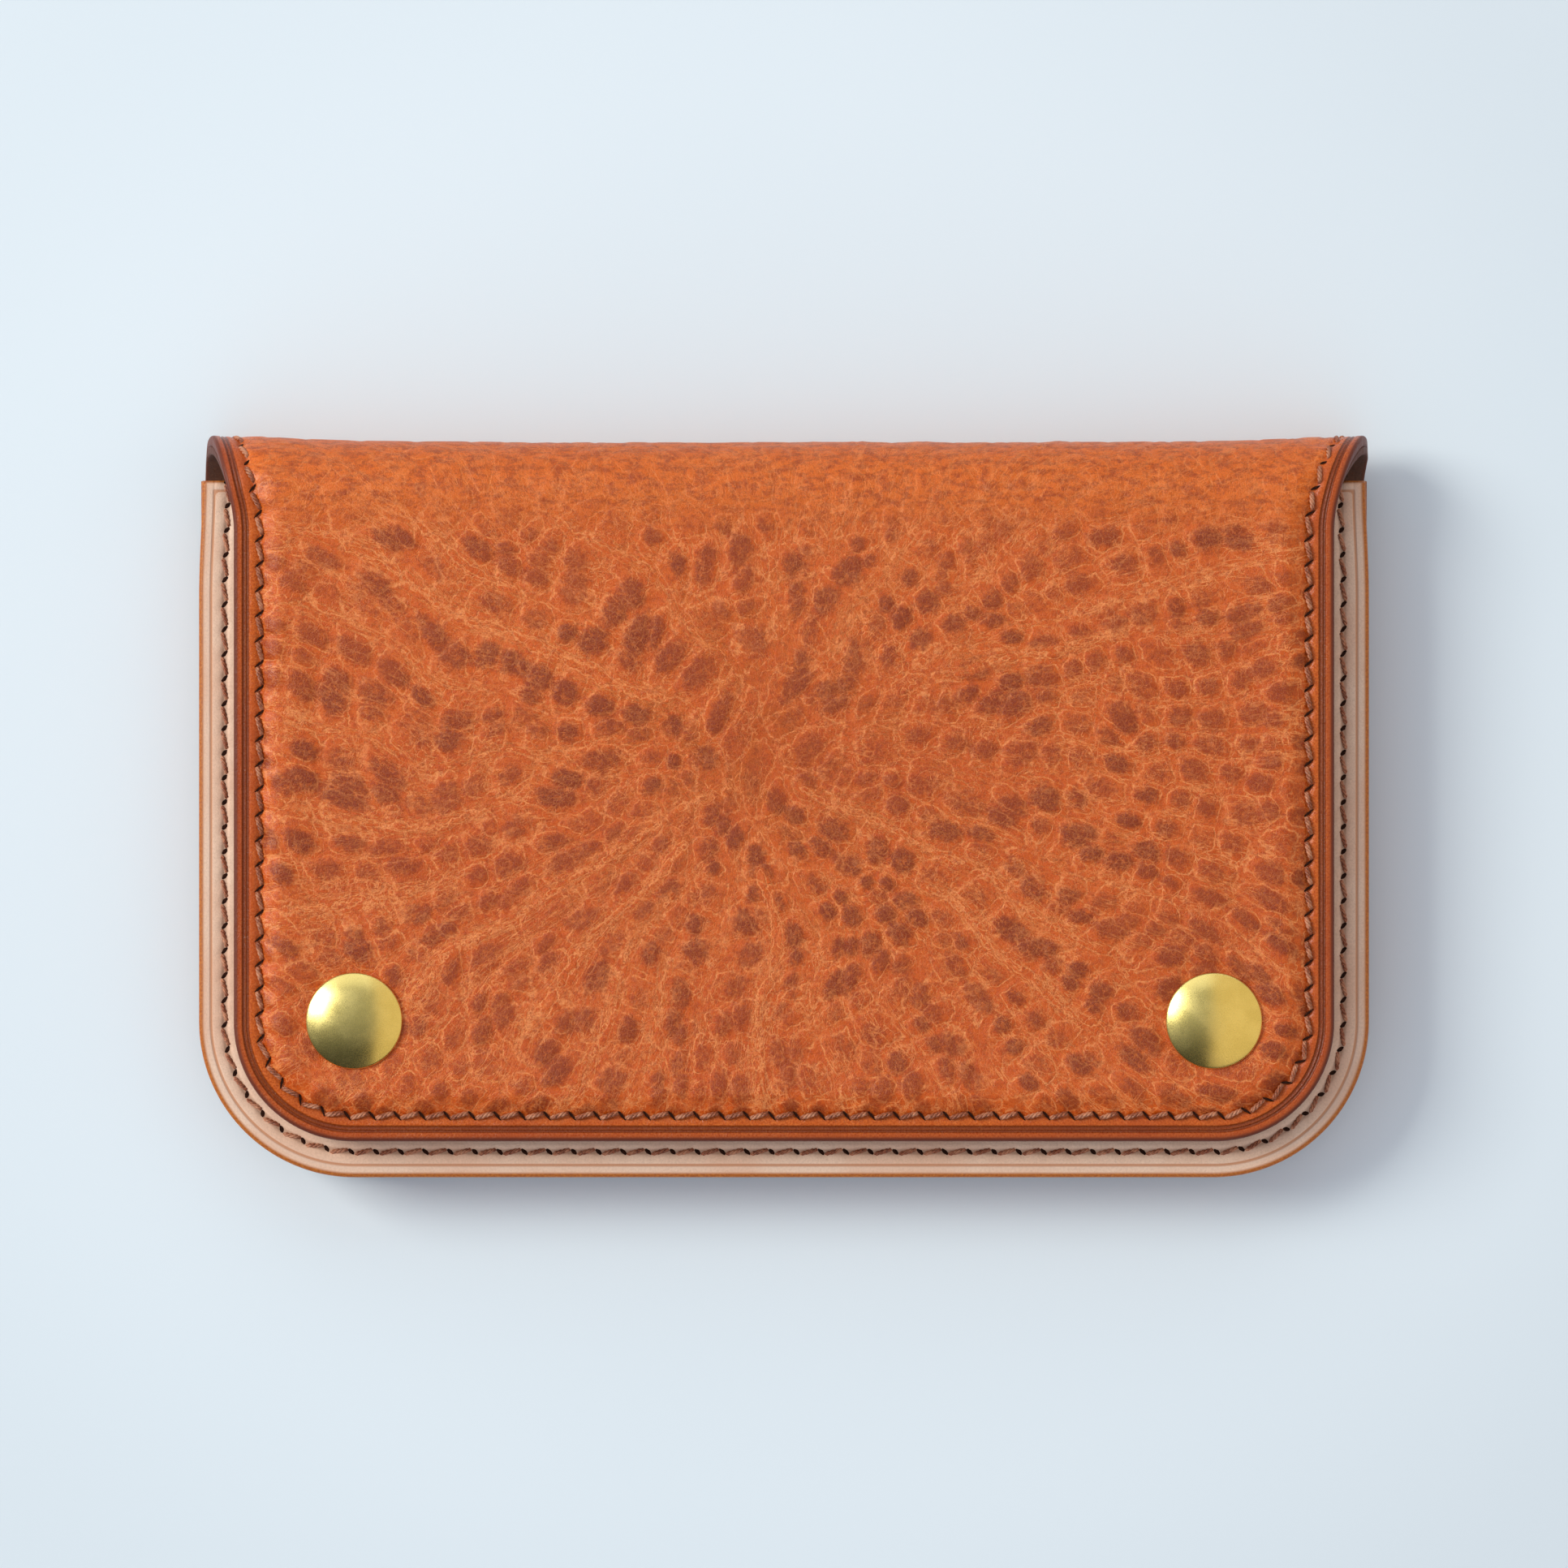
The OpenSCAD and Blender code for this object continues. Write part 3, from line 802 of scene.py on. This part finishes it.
def shell_flat(turned):
    """Flat leather coordinates of a part's own x and u, with y as on the flap."""
    way = -1 if turned else 1
    return lambda x, u: (way * x, FOLD_Y + FOLD_LEN - way * u)


def beats(outline, path):
    """Distance along the seam in stitches, a whole number at each hole, and which way it grows."""
    left = path < outline.path_len / 2
    return (np.where(left, path, outline.path_len - path) - outline.first) / outline.pitch, left


def dents(outline, path, inset, depth, seam_in=STITCH_IN):
    """The leather's sunk line along a seam, deeper at each slanted awl hole."""
    beat, left = beats(outline, path)
    along = ((beat + 0.5) % 1.0 - 0.5) * outline.pitch * np.where(left, 1, -1)
    side = inset - seam_in
    c, s = math.cos(HOLE_TURN), math.sin(HOLE_TURN)
    a, b = along * c + side * s, side * c - along * s
    hole = np.exp(-((a / 0.62) ** 2) - (b / 0.28) ** 2)
    return -depth * (np.exp(-((side / 0.36) ** 2)) + 1.5 * hole)


def set_rhythm(outline, first):
    """Places the seam's holes, from first on both sides, and the middles of its stitches."""
    pitch, length = STITCH_PITCH, outline.path_len
    if outline.rounded:
        count = round((length - 2 * first) / pitch)
        pitch = (length - 2 * first) / count
        holes = first + pitch * np.arange(count + 1)
        runs = holes[:-1] + pitch / 2
        if first > 0:
            crossing = first - pitch / 2
            runs = np.concatenate([[crossing], runs, [length - crossing]])
    else:
        side = np.arange(first, outline.side_len - 0.1, pitch)
        holes, runs = [np.concatenate([s, length - s[::-1]]) for s in (side, side + pitch / 2)]
    outline.first, outline.pitch, outline.holes, outline.runs = first, pitch, holes, runs


CAP_CENTRES = {side: sum(box_mm(f"snap_cap_{side}"))[:2] / 2 for side in ("left", "right")}
CAP_R = np.ptp([corner[0] for corner in box_mm("snap_cap_left")]) / 2


def make_shell_face(outline, turned, on_back):
    def face(x, u, inset, path):
        fx, fy = shell_flat(turned)(x, u)
        su = FOLD_Y + FOLD_LEN - fy
        fields = grain(fx, fy)
        inner = smooth((inset - 2.9) / 1.0)
        rise = 0.20 if on_back else 0.80
        climb = np.clip((inset - 2.5) / 2.2, 0, 1)
        pillow = rise * (smooth(climb) + climb) / 2 - 0.4 * rise * smooth((inset - 4.8) / 5.0)
        on_fold = smooth((su + 2.0) / 5.0) * smooth((FOLD_LEN + 3.0 - su) / 8.0)
        pillow = pillow * (1 - 0.8 * on_fold)
        phase = np.sin(math.pi * beats(outline, path)[0]) ** 2
        near = smooth((inset - 2.6) / 0.5) * (1 - smooth((inset - 3.3) / 2.4))
        scallop = 0.14 * (phase - 0.5) * near
        height = relief(fields, fx, fy) * inner + pillow + scallop + dents(outline, path, inset, 0.15)
        if on_back:
            return height - 0.34
        for cap in CAP_CENTRES.values():
            away = np.hypot(fx - cap[0], fy - cap[1])
            height = height - 0.20 * np.exp(-((away - CAP_R) ** 2))
        return height - 0.34 + 0.24 * on_fold
    return face


def bend_with(obj, part, kind=None):
    """Bakes a piece's transform into its mesh, in place of that part's CAD nodes of the kind named,
    which it hides.

    The flap also stands for the fold's upper half, and the back for its lower half.
    """
    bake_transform(obj)
    half = {"flap": "upper", "back": "lower"}.get(part)
    if kind and half:
        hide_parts(f"{part}_{kind}", f"fold_{kind}_{half}")


def lining_face(x, u, inset, path):
    return 0.05 * (fractal_noise(x, u, 7.0, SEED + 9) - 0.5) - 0.03


def under_shell(place):
    """The shell's inner side: its height grows inwards."""
    return lambda x, u, d: place(x, u, -SHELL_T - d)


# the stitches keep one rhythm from the flap through the fold to the back
FOLD_FIRST = (FOLD_CUTS[1] - FOLD_CUTS[0]) % STITCH_PITCH
FIRST_HOLES = {"flap": 0.0, "fold": FOLD_FIRST, "back": STITCH_PITCH - FOLD_FIRST}

for part, (outline, turned, *_rest) in SHELL_PARTS.items():
    set_rhythm(outline, FIRST_HOLES[part])
    place, flat = turned_place if turned else shell_place, shell_flat(turned)
    fine = part == "flap"
    leather, x, u = make_sheet(
        f"{part}_leather", outline, place, make_shell_face(outline, turned, part == "back"),
        edge_rings(OUTER_T, 0.36, SHELL_CREASES, 0.13), SHELL,
        step=0.32 if fine else 0.42, cols=300 if fine else 220, flat=flat)
    add_layers(leather.data, grain(*flat(x, u)))
    bend_with(leather, part, "outer")
    lining, *_ = make_sheet(
        f"{part}_lining_leather", outline, under_shell(place), lining_face,
        edge_rings(LINING_T, 0.2, (), 0.0), LINING,
        step=0.5 if part == "fold" else 1.2, cols=90, arc_steps=24, flat=flat)
    lining.data.flip_normals()
    bend_with(lining, part, "lining")

# ---- stitches
PLY_R, TWIST_R = 0.15, 0.135
TWISTS = 1.35
RUN_RINGS, PLY_SIDES, HOLE_SIDES = 17, 7, 12
# where a stitch starts: along the seam from its hole's middle, and across it
START_X, START_Y = 0.27, -0.30
TEXTURE_STEP = 3.7


def frame_at(outline, place, s, inset):
    """Position, tangent and normal of the seam at s."""
    x, u, tx, tu = outline.path_point(s, inset)
    h = 0.05
    low, high, up, middle = place(
        x + h * tx * np.array([-1, 1, 0, 0]), u + h * tu * np.array([-1, 1, 0, 0]),
        np.array([0.0, 0.0, 0.1, 0.0]))
    tangent = (high - low) / np.linalg.norm(high - low)
    normal = (up - middle) / np.linalg.norm(up - middle)
    return middle, tangent, normal


def ring_faces(index, flipped=False):
    """Quads between rows of point numbers, where each row closes on itself."""
    after = np.roll(index, -1, 1)
    corners = [index[:-1], after[:-1], after[1:], index[1:]]
    return np.stack(corners[::-1] if flipped else corners, -1).reshape(-1, 4).tolist()


def thread_run(length, lift, scale):
    """One visible stitch along X from the origin: three plies twisted, ends diving into the holes."""
    t = np.linspace(0, 1, RUN_RINGS)[:, None]
    out = np.abs(2 * t - 1)
    arch = lift * (1 - out**3) - 0.40 * out**10
    swell = scale * (1 - 0.38 * out**3)
    a = 2 * math.pi * np.arange(PLY_SIDES) / PLY_SIDES
    verts, faces = [], []
    for ply in range(3):
        turn = 2 * math.pi * (ply / 3 - TWISTS * t)
        y = swell * (TWIST_R * np.cos(turn) + PLY_R * np.cos(a))
        z = swell * (TWIST_R * np.sin(turn) + PLY_R * np.sin(a)) + arch
        verts.append(np.stack([length * t + 0 * y, y, z], -1).reshape(-1, 3))
        index = ply * y.size + np.arange(y.size).reshape(y.shape)
        faces += ring_faces(index) + [index[0, ::-1].tolist(), index[-1].tolist()]
    return np.concatenate(verts), faces


def hole_shape():
    """A dark lens of painted shade for a slanted awl hole's mouth: a low lens along X, centred on the
    origin.
    """
    a = 2 * math.pi * np.arange(HOLE_SIDES) / HOLE_SIDES
    width = HOLE_W / 2 * (1 - 0.45 * np.abs(np.cos(a)))
    rim = np.stack([HOLE_LEN / 2 * np.cos(a), width * np.sin(a), 0 * a - 0.05], -1)
    return np.concatenate([rim, [(0.0, 0.0, 0.03)]]), fan(HOLE_SIDES, HOLE_SIDES)


def fan(count, top):
    """Triangles from the first count points, a closed ring, to the point numbered top."""
    return [(k, (k + 1) % count, top) for k in range(count)]


def stands_for(obj, body, node):
    """Fixes a piece to a body, in place of a CAD node."""
    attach(obj, body)
    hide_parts(node)


HOLE_VERTS, HOLE_FACES = hole_shape()


def seam(name, outline, place, lift, depth, scale=1.0, inset=STITCH_IN, hole_scale=1.0):
    """Stitches, and dark lenses of painted shade at their holes, along the outline's seam, as one
    thread piece.
    """
    reach_x, reach_y = outline.pitch - 2 * START_X, -2 * START_Y
    length = math.hypot(reach_x, reach_y)
    slant = math.atan2(reach_y, reach_x)
    run, run_faces = thread_run(length, lift, scale)
    verts, faces, local = [], [], []

    def put(shape, shape_faces, s, along, side, turn):
        """Adds a shape at s along the seam, moved and turned in the leather's plane."""
        origin, tangent, normal = frame_at(outline, place, s, inset)
        inward = np.cross(normal, tangent)
        cos, sin = math.cos(turn), math.sin(turn)
        a = shape[:, 0] * cos - shape[:, 1] * sin + along
        b = shape[:, 0] * sin + shape[:, 1] * cos + side
        points = origin + a[:, None] * tangent + b[:, None] * inward
        base = sum(len(v) for v in verts)
        verts.append(points + (shape[:, 2] + depth)[:, None] * normal)
        local.append(shape + (len(verts) * TEXTURE_STEP, 0, 0))
        faces.extend([tuple(base + i for i in f) for f in shape_faces])

    for hole in outline.holes:
        put(HOLE_VERTS * hole_scale, HOLE_FACES, hole, 0, 0, HOLE_TURN)
    in_holes = len(faces)
    for middle in outline.runs:
        put(run, run_faces, middle, START_X - outline.pitch / 2, START_Y, slant)
    kinds = np.repeat([1, 0], [in_holes, len(faces) - in_holes])
    obj = new_mesh(name, np.concatenate(verts), faces, [THREAD, HOLE_SHADE],
                   {"flat": np.concatenate(local)}, kinds)
    return obj


for part, (outline, turned, *_rest) in SHELL_PARTS.items():
    place = turned_place if turned else shell_place
    lift, depth = (0.02, -0.50) if part == "back" else (0.16, -0.31)
    bend_with(seam(f"{part}_thread", outline, place, lift, depth), part, "stitching")
    if part != "back":
        bend_with(seam(f"{part}_inner_thread", outline, under_shell(place), 0.05, -0.02, 0.85), part)

# ---- front panel
PANEL_TOP, PANEL_Y = PANEL_HIGH[2], PANEL_HIGH[1]
PANEL_T = PANEL_HIGH[2] - PANEL_LOW[2]
PANEL_LEN = PANEL_Y - BODY_BOTTOM
SCOOP_HALF, SCOOP_DEPTH = 17.0, 6.0
SCOOP_R = (SCOOP_HALF**2 + SCOOP_DEPTH**2) / (2 * SCOOP_DEPTH)


def scoop(x):
    """How far the thumb scoop lowers the mouth's edge at x."""
    return np.where(np.abs(x) < SCOOP_HALF,
                    SCOOP_DEPTH - SCOOP_R + np.sqrt(np.maximum(SCOOP_R**2 - x**2, 0)), 0)


def panel_place(x, u, d):
    fade = 1 - smooth(u / 14.0)
    return np.stack([x, PANEL_Y - u - scoop(x) * fade, PANEL_TOP + d], -1)


def panel_half(u):
    return BODY_HALF - 0.35 * smooth((12.0 - u) / 12.0)


def panel_face(x, u, inset, path):
    pillow = 0.06 * smooth((inset - 2.75) / 0.7)
    mouth = -0.35 * (1 - smooth(u / 0.4)) ** 2
    return pillow + dents(panel_outline, path, inset, 0.16) + mouth - 0.05


panel_outline = Outline(0.0, PANEL_LEN, panel_half, BODY_CORNER)
set_rhythm(panel_outline, 0.0)
panel = make_sheet("front_panel_leather", panel_outline, panel_place, panel_face,
                   edge_rings(PANEL_T, 0.42, (1.28,), 0.04), NATURAL,
                   step=0.5, cols=200, closed=PANEL_T)[0]
stands_for(panel, "body", "front_panel")
stands_for(seam("front_thread", panel_outline, panel_place, 0.06, -0.24, 0.90, hole_scale=1.5),
           "body", "front_stitching")

# ---- patch pocket on the lining
PATCH_T, PATCH_TOP = PATCH_HIGH[2] - PATCH_LOW[2], PATCH_HIGH[2]
PATCH_CORNER, PATCH_SEAM_IN, PATCH_BAND = 8.2, 1.8, 2.6
PATCH_GAPE = 0.55


def patch_place(x, u, d):
    """The patch lies on the lining, and its mouth's middle stands a little open."""
    gape = PATCH_GAPE * np.exp(-((u / 7.0) ** 2)) * smooth((PATCH_HIGH[0] - 4 - np.abs(x)) / 30)
    return np.stack([x, PATCH_HIGH[1] - u, PATCH_TOP + gape + d], -1)


def patch_half(u):
    return PATCH_HIGH[0] + 0 * u


def patch_face(x, u, inset, path):
    soft = 0.06 * (fractal_noise(x, u, 8.0, SEED + 15) - 0.5)
    pillow = 0.08 * smooth((inset - 1.9) / 1.2)
    return soft + pillow + dents(patch_outline, path, inset, 0.12, PATCH_SEAM_IN) - 0.10


patch_outline = Outline(0.0, PATCH_HIGH[1] - PATCH_LOW[1], patch_half, PATCH_CORNER)
set_rhythm(patch_outline, 0.0)
patch = make_sheet("patch_pocket_leather", patch_outline, patch_place, patch_face,
                   edge_rings(PATCH_T, 0.22, (1.0,), 0.06, PATCH_BAND), LINING,
                   step=0.6, cols=180, arc_steps=26, band_in=PATCH_BAND, closed=PATCH_T)[0]
stands_for(patch, "body", "patch_pocket")
stands_for(seam("patch_thread", patch_outline, patch_place, 0.04, -0.16, 0.62, PATCH_SEAM_IN),
           "body", "patch_stitching")

# ---- gusset
GUSSET_T = 0.8
WALL_OUT = 5.0
WALL_IN = WALL_OUT + GUSSET_T
BACK_MOUTH_Y = FOLD_Y - 0.25
GUSSET_MIDDLE = (GUSSET_LOW[2] + GUSSET_HIGH[2]) / 2
BEND_R, BEND_DEGREES = 1.5, 80


def channel_run(flange_end, flange_z, bend_x, bend_r, reach, turn):
    """One flange's run, then the bowed wall's: turn is 1 going up and -1 coming back down."""
    run = [(inset, flange_z) for inset in flange_end]
    for a in np.linspace(-BEND_DEGREES * turn, BEND_DEGREES * turn, 17):
        c, s = cos_sin(a)
        bow = reach * math.copysign(abs(s) ** 0.55, s)
        run.append((bend_x - bend_r + bend_r * c, GUSSET_MIDDLE + bow))
    return run


def gusset_section():
    """The channel's closed section as (inset, height) points: outside up, and inside back down."""
    low, high = GUSSET_LOW[2], GUSSET_HIGH[2]
    reach, inner_r = (high - low) / 2, BEND_R - GUSSET_T + 0.3
    flange = np.linspace(0, WALL_IN - BEND_R, 10)
    points = channel_run(flange, low, WALL_IN, BEND_R, reach, 1)
    points += [(inset, high) for inset in flange[::-1]]
    points += channel_run(flange, high - GUSSET_T, WALL_OUT, inner_r, reach - GUSSET_T, -1)
    return np.array(points + [(inset, low + GUSSET_T) for inset in flange[::-1]])


def end_faces(ring):
    """Quads across the channel's thickness at one end, pairing its outer and inner runs."""
    outer, inner = ring[: len(ring) // 2], ring[len(ring) // 2 :][::-1]
    return np.stack([outer[:-1], inner[:-1], inner[1:], outer[1:]], -1)


def gusset_piece():
    """The section swept down one side, round the corners and up the other, puckered in the corners."""
    section = gusset_section()
    outline = Outline(0.0, PANEL_LEN, lambda u: BODY_HALF - 0.15 + 0 * u, BODY_CORNER)
    side_len, arc_end = outline.side_len, outline.side_len + outline.arc_len
    stations = np.concatenate([np.linspace(0, side_len, 60)[:-1],
                               side_len + np.linspace(0, outline.arc_len, 37)[:-1],
                               np.linspace(arc_end, outline.path_len / 2, 50)])
    stations = np.concatenate([stations, outline.path_len - stations[-2::-1]])
    inset, z = section.T
    climb = (z - GUSSET_LOW[2] - GUSSET_T) / (GUSSET_HIGH[2] - GUSSET_LOW[2] - 2 * GUSSET_T)
    drop = (PANEL_Y - BACK_MOUTH_Y) * (1 - np.clip(climb, 0, 1))
    on_wall = smooth((inset - 2.5) / 2.5) * (1 - ((z - GUSSET_MIDDLE) / 2.7) ** 2)
    girth = np.cumsum(np.r_[0, np.hypot(np.diff(inset), np.diff(z))])
    verts, flat = [], []
    for s in stations:
        side = min(s, outline.path_len - s)
        corner = smooth((side - side_len + 4) / 6) * smooth((arc_end + 4 - side) / 6)
        pucker = 0.16 * corner * math.sin(side * 2.6) + 0.10 * math.sin(side * 0.31)
        x, u = np.array([outline.path_point(s, v)[:2] for v in inset]).T
        u = u + np.clip(1 - side / side_len, 0, 1) * drop
        y, sag = PANEL_Y - u, on_wall * pucker
        if side <= side_len + outline.arc_len / 2:
            x = x - np.sign(x) * sag
        else:
            y = y + sag
        verts.append(np.stack([x, y, z], -1))
        flat.append(np.stack([np.full(len(z), s), girth, 0 * z], -1))
    rows = len(stations)
    index = np.arange(len(section) * rows).reshape(rows, -1)
    ends = [*end_faces(index[0]), *end_faces(index[-1])[:, ::-1]]
    faces = ring_faces(index) + ends
    return new_mesh("gusset_leather", np.concatenate(verts), faces, [GUSSET],
                    {"flat": np.concatenate(flat), "edge": np.tile(np.minimum(inset, 2.0), rows)})


stands_for(gusset_piece(), "body", "gusset")

# ---- snap caps
CAP_TURNS, DOME_RINGS = 72, 24
DOME_PART, DOME_FOOT, DOME_POWER = 0.965, 0.42, 2.15
RIM_LIFT, RIM_THICK, RIM_WIDE = 0.16, 0.30, 0.07


def cap_profile(top):
    """The cap's half section as (radius, height) points: a dome, then a rim rolled under it."""
    profile = []
    dome = top - TOTAL_T - DOME_FOOT
    for k in range(1, DOME_RINGS + 1):
        t = k / DOME_RINGS
        profile.append((CAP_R * DOME_PART * t, top - dome * t**DOME_POWER))
    for a in range(45, 181, 15):
        c, s = cos_sin(a)
        width = 1 - RIM_WIDE * (1 - s)
        profile.append((CAP_R * width, TOTAL_T + RIM_LIFT + RIM_THICK * c))
    return np.array(profile)


def cap_piece(side, centre):
    top = box_mm(f"snap_cap_{side}")[1][2]
    radius, height = cap_profile(top).T[:, :, None]
    angles = np.arange(CAP_TURNS) * 2 * math.pi / CAP_TURNS
    x, y = centre[0] + radius * np.cos(angles), centre[1] + radius * np.sin(angles)
    verts = np.stack([x, y, height + 0 * x], -1).reshape(-1, 3)
    faces = ring_faces(np.arange(x.size).reshape(x.shape), True) + fan(CAP_TURNS, x.size)
    verts = np.concatenate([verts, [(centre[0], centre[1], top)]])
    cap = new_mesh(f"cap_{side}", verts, faces, [BRASS])
    stands_for(cap, "flap", f"snap_cap_{side}")


for side, centre in CAP_CENTRES.items():
    cap_piece(side, centre)

# ---- materials of the CAD nodes that stay
STAYING = {"snap_socket": BRASS, "snap_stud": BRASS, "snap_eyelet": BRASS, "snap_spring": STEEL}
for name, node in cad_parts.items():
    material = STAYING.get(name.rpartition("_")[0])
    if material:
        node.data.materials.clear()
        node.data.materials.append(material)

# ---- floor, light and camera
bpy.ops.mesh.primitive_plane_add(size=6, location=(0, 0, -0.00002))
floor = bpy.context.object
floor.name = "floor"
floor.data.materials.append(floor_paint())

VIEW_WIDTH, VIEW_DISTANCE, VIEW_Y = 0.1607, 0.62, 0.0022
SENSOR = 36
camera_data = bpy.data.cameras.new("camera")
camera_data.sensor_width = SENSOR
camera_data.lens = SENSOR * VIEW_DISTANCE / VIEW_WIDTH
camera = add_object("camera", camera_data)
camera.location = (0.0, VIEW_Y, PANEL_TOP * MM + VIEW_DISTANCE)
bpy.context.scene.camera = camera


def area_light(name, position, size, power, color):
    """A rectangular light that points at the origin."""
    data = bpy.data.lights.new(name, "AREA")
    data.shape = "RECTANGLE"
    data.size, data.size_y = size
    data.energy = power
    data.color = color
    lamp = add_object(name, data)
    lamp.location = position
    lamp.rotation_euler = (-Vector(position)).to_track_quat("-Z", "Y").to_euler()


KEY_DISTANCE = 1.3
KEY_WAY = Vector((-1.06, 0.43, 0.93)).normalized()
area_light("key", KEY_WAY * KEY_DISTANCE, (0.54, 0.54), 11.3, (0.97, 1.0, 0.96))
area_light("top_fill", (0.0, 1.05, 0.78), (1.6, 0.8), 3.4, (0.95, 0.97, 1.0))
area_light("warm_fill", (0.75, -0.05, 0.40), (0.7, 0.9), 0.6, (1.0, 0.76, 0.52))


def reflector(name, center, size, color, strength):
    """A panel of the studio that only shows in glossy reflections."""
    bpy.ops.mesh.primitive_plane_add(size=1, location=center)
    card = bpy.context.object
    card.name = name
    card.scale = (*size, 1)
    t = material_tree(name, "ShaderNodeEmission")
    t.of(t.shader, color, strength)
    card.data.materials.append(t.owner)
    for kind in ("camera", "diffuse", "shadow", "transmission", "volume_scatter"):
        setattr(card, f"visible_{kind}", False)


reflector("warm_panel", (0.402, 0.02, 0.26), (0.7, 0.9), (1.0, 0.84, 0.56, 1), 0.78)


def studio_world():
    """Soft daylight, stronger from the front and left; reflections see a room dark in front."""
    world = bpy.data.worlds.new("world")
    bpy.context.scene.world = world
    t = Tree(world)
    across, along, _ = t.parts(t.add("ShaderNodeTexCoord").outputs["Generated"])
    front, left = t.span(along, -1, 1, 0.90, 0.28, False), t.span(across, -1, 1, 1.08, 0.76, False)
    soft = t.of(t.add("ShaderNodeBackground"), (0.76, 0.85, 1.0, 1), t.times(front, left))
    room = t.of(t.add("ShaderNodeBackground"), (0.93, 0.98, 1.0, 1),
                t.span(along, -0.75, 0.30, 0.04, 0.42))
    glossy = t.add("ShaderNodeLightPath").outputs["Is Glossy Ray"]
    pick = t.of(t.add("ShaderNodeMixShader"), glossy, soft, room)
    t.put(t.add("ShaderNodeOutputWorld").inputs[0], pick)


studio_world()
bpy.context.scene.view_settings.view_transform = "Standard"
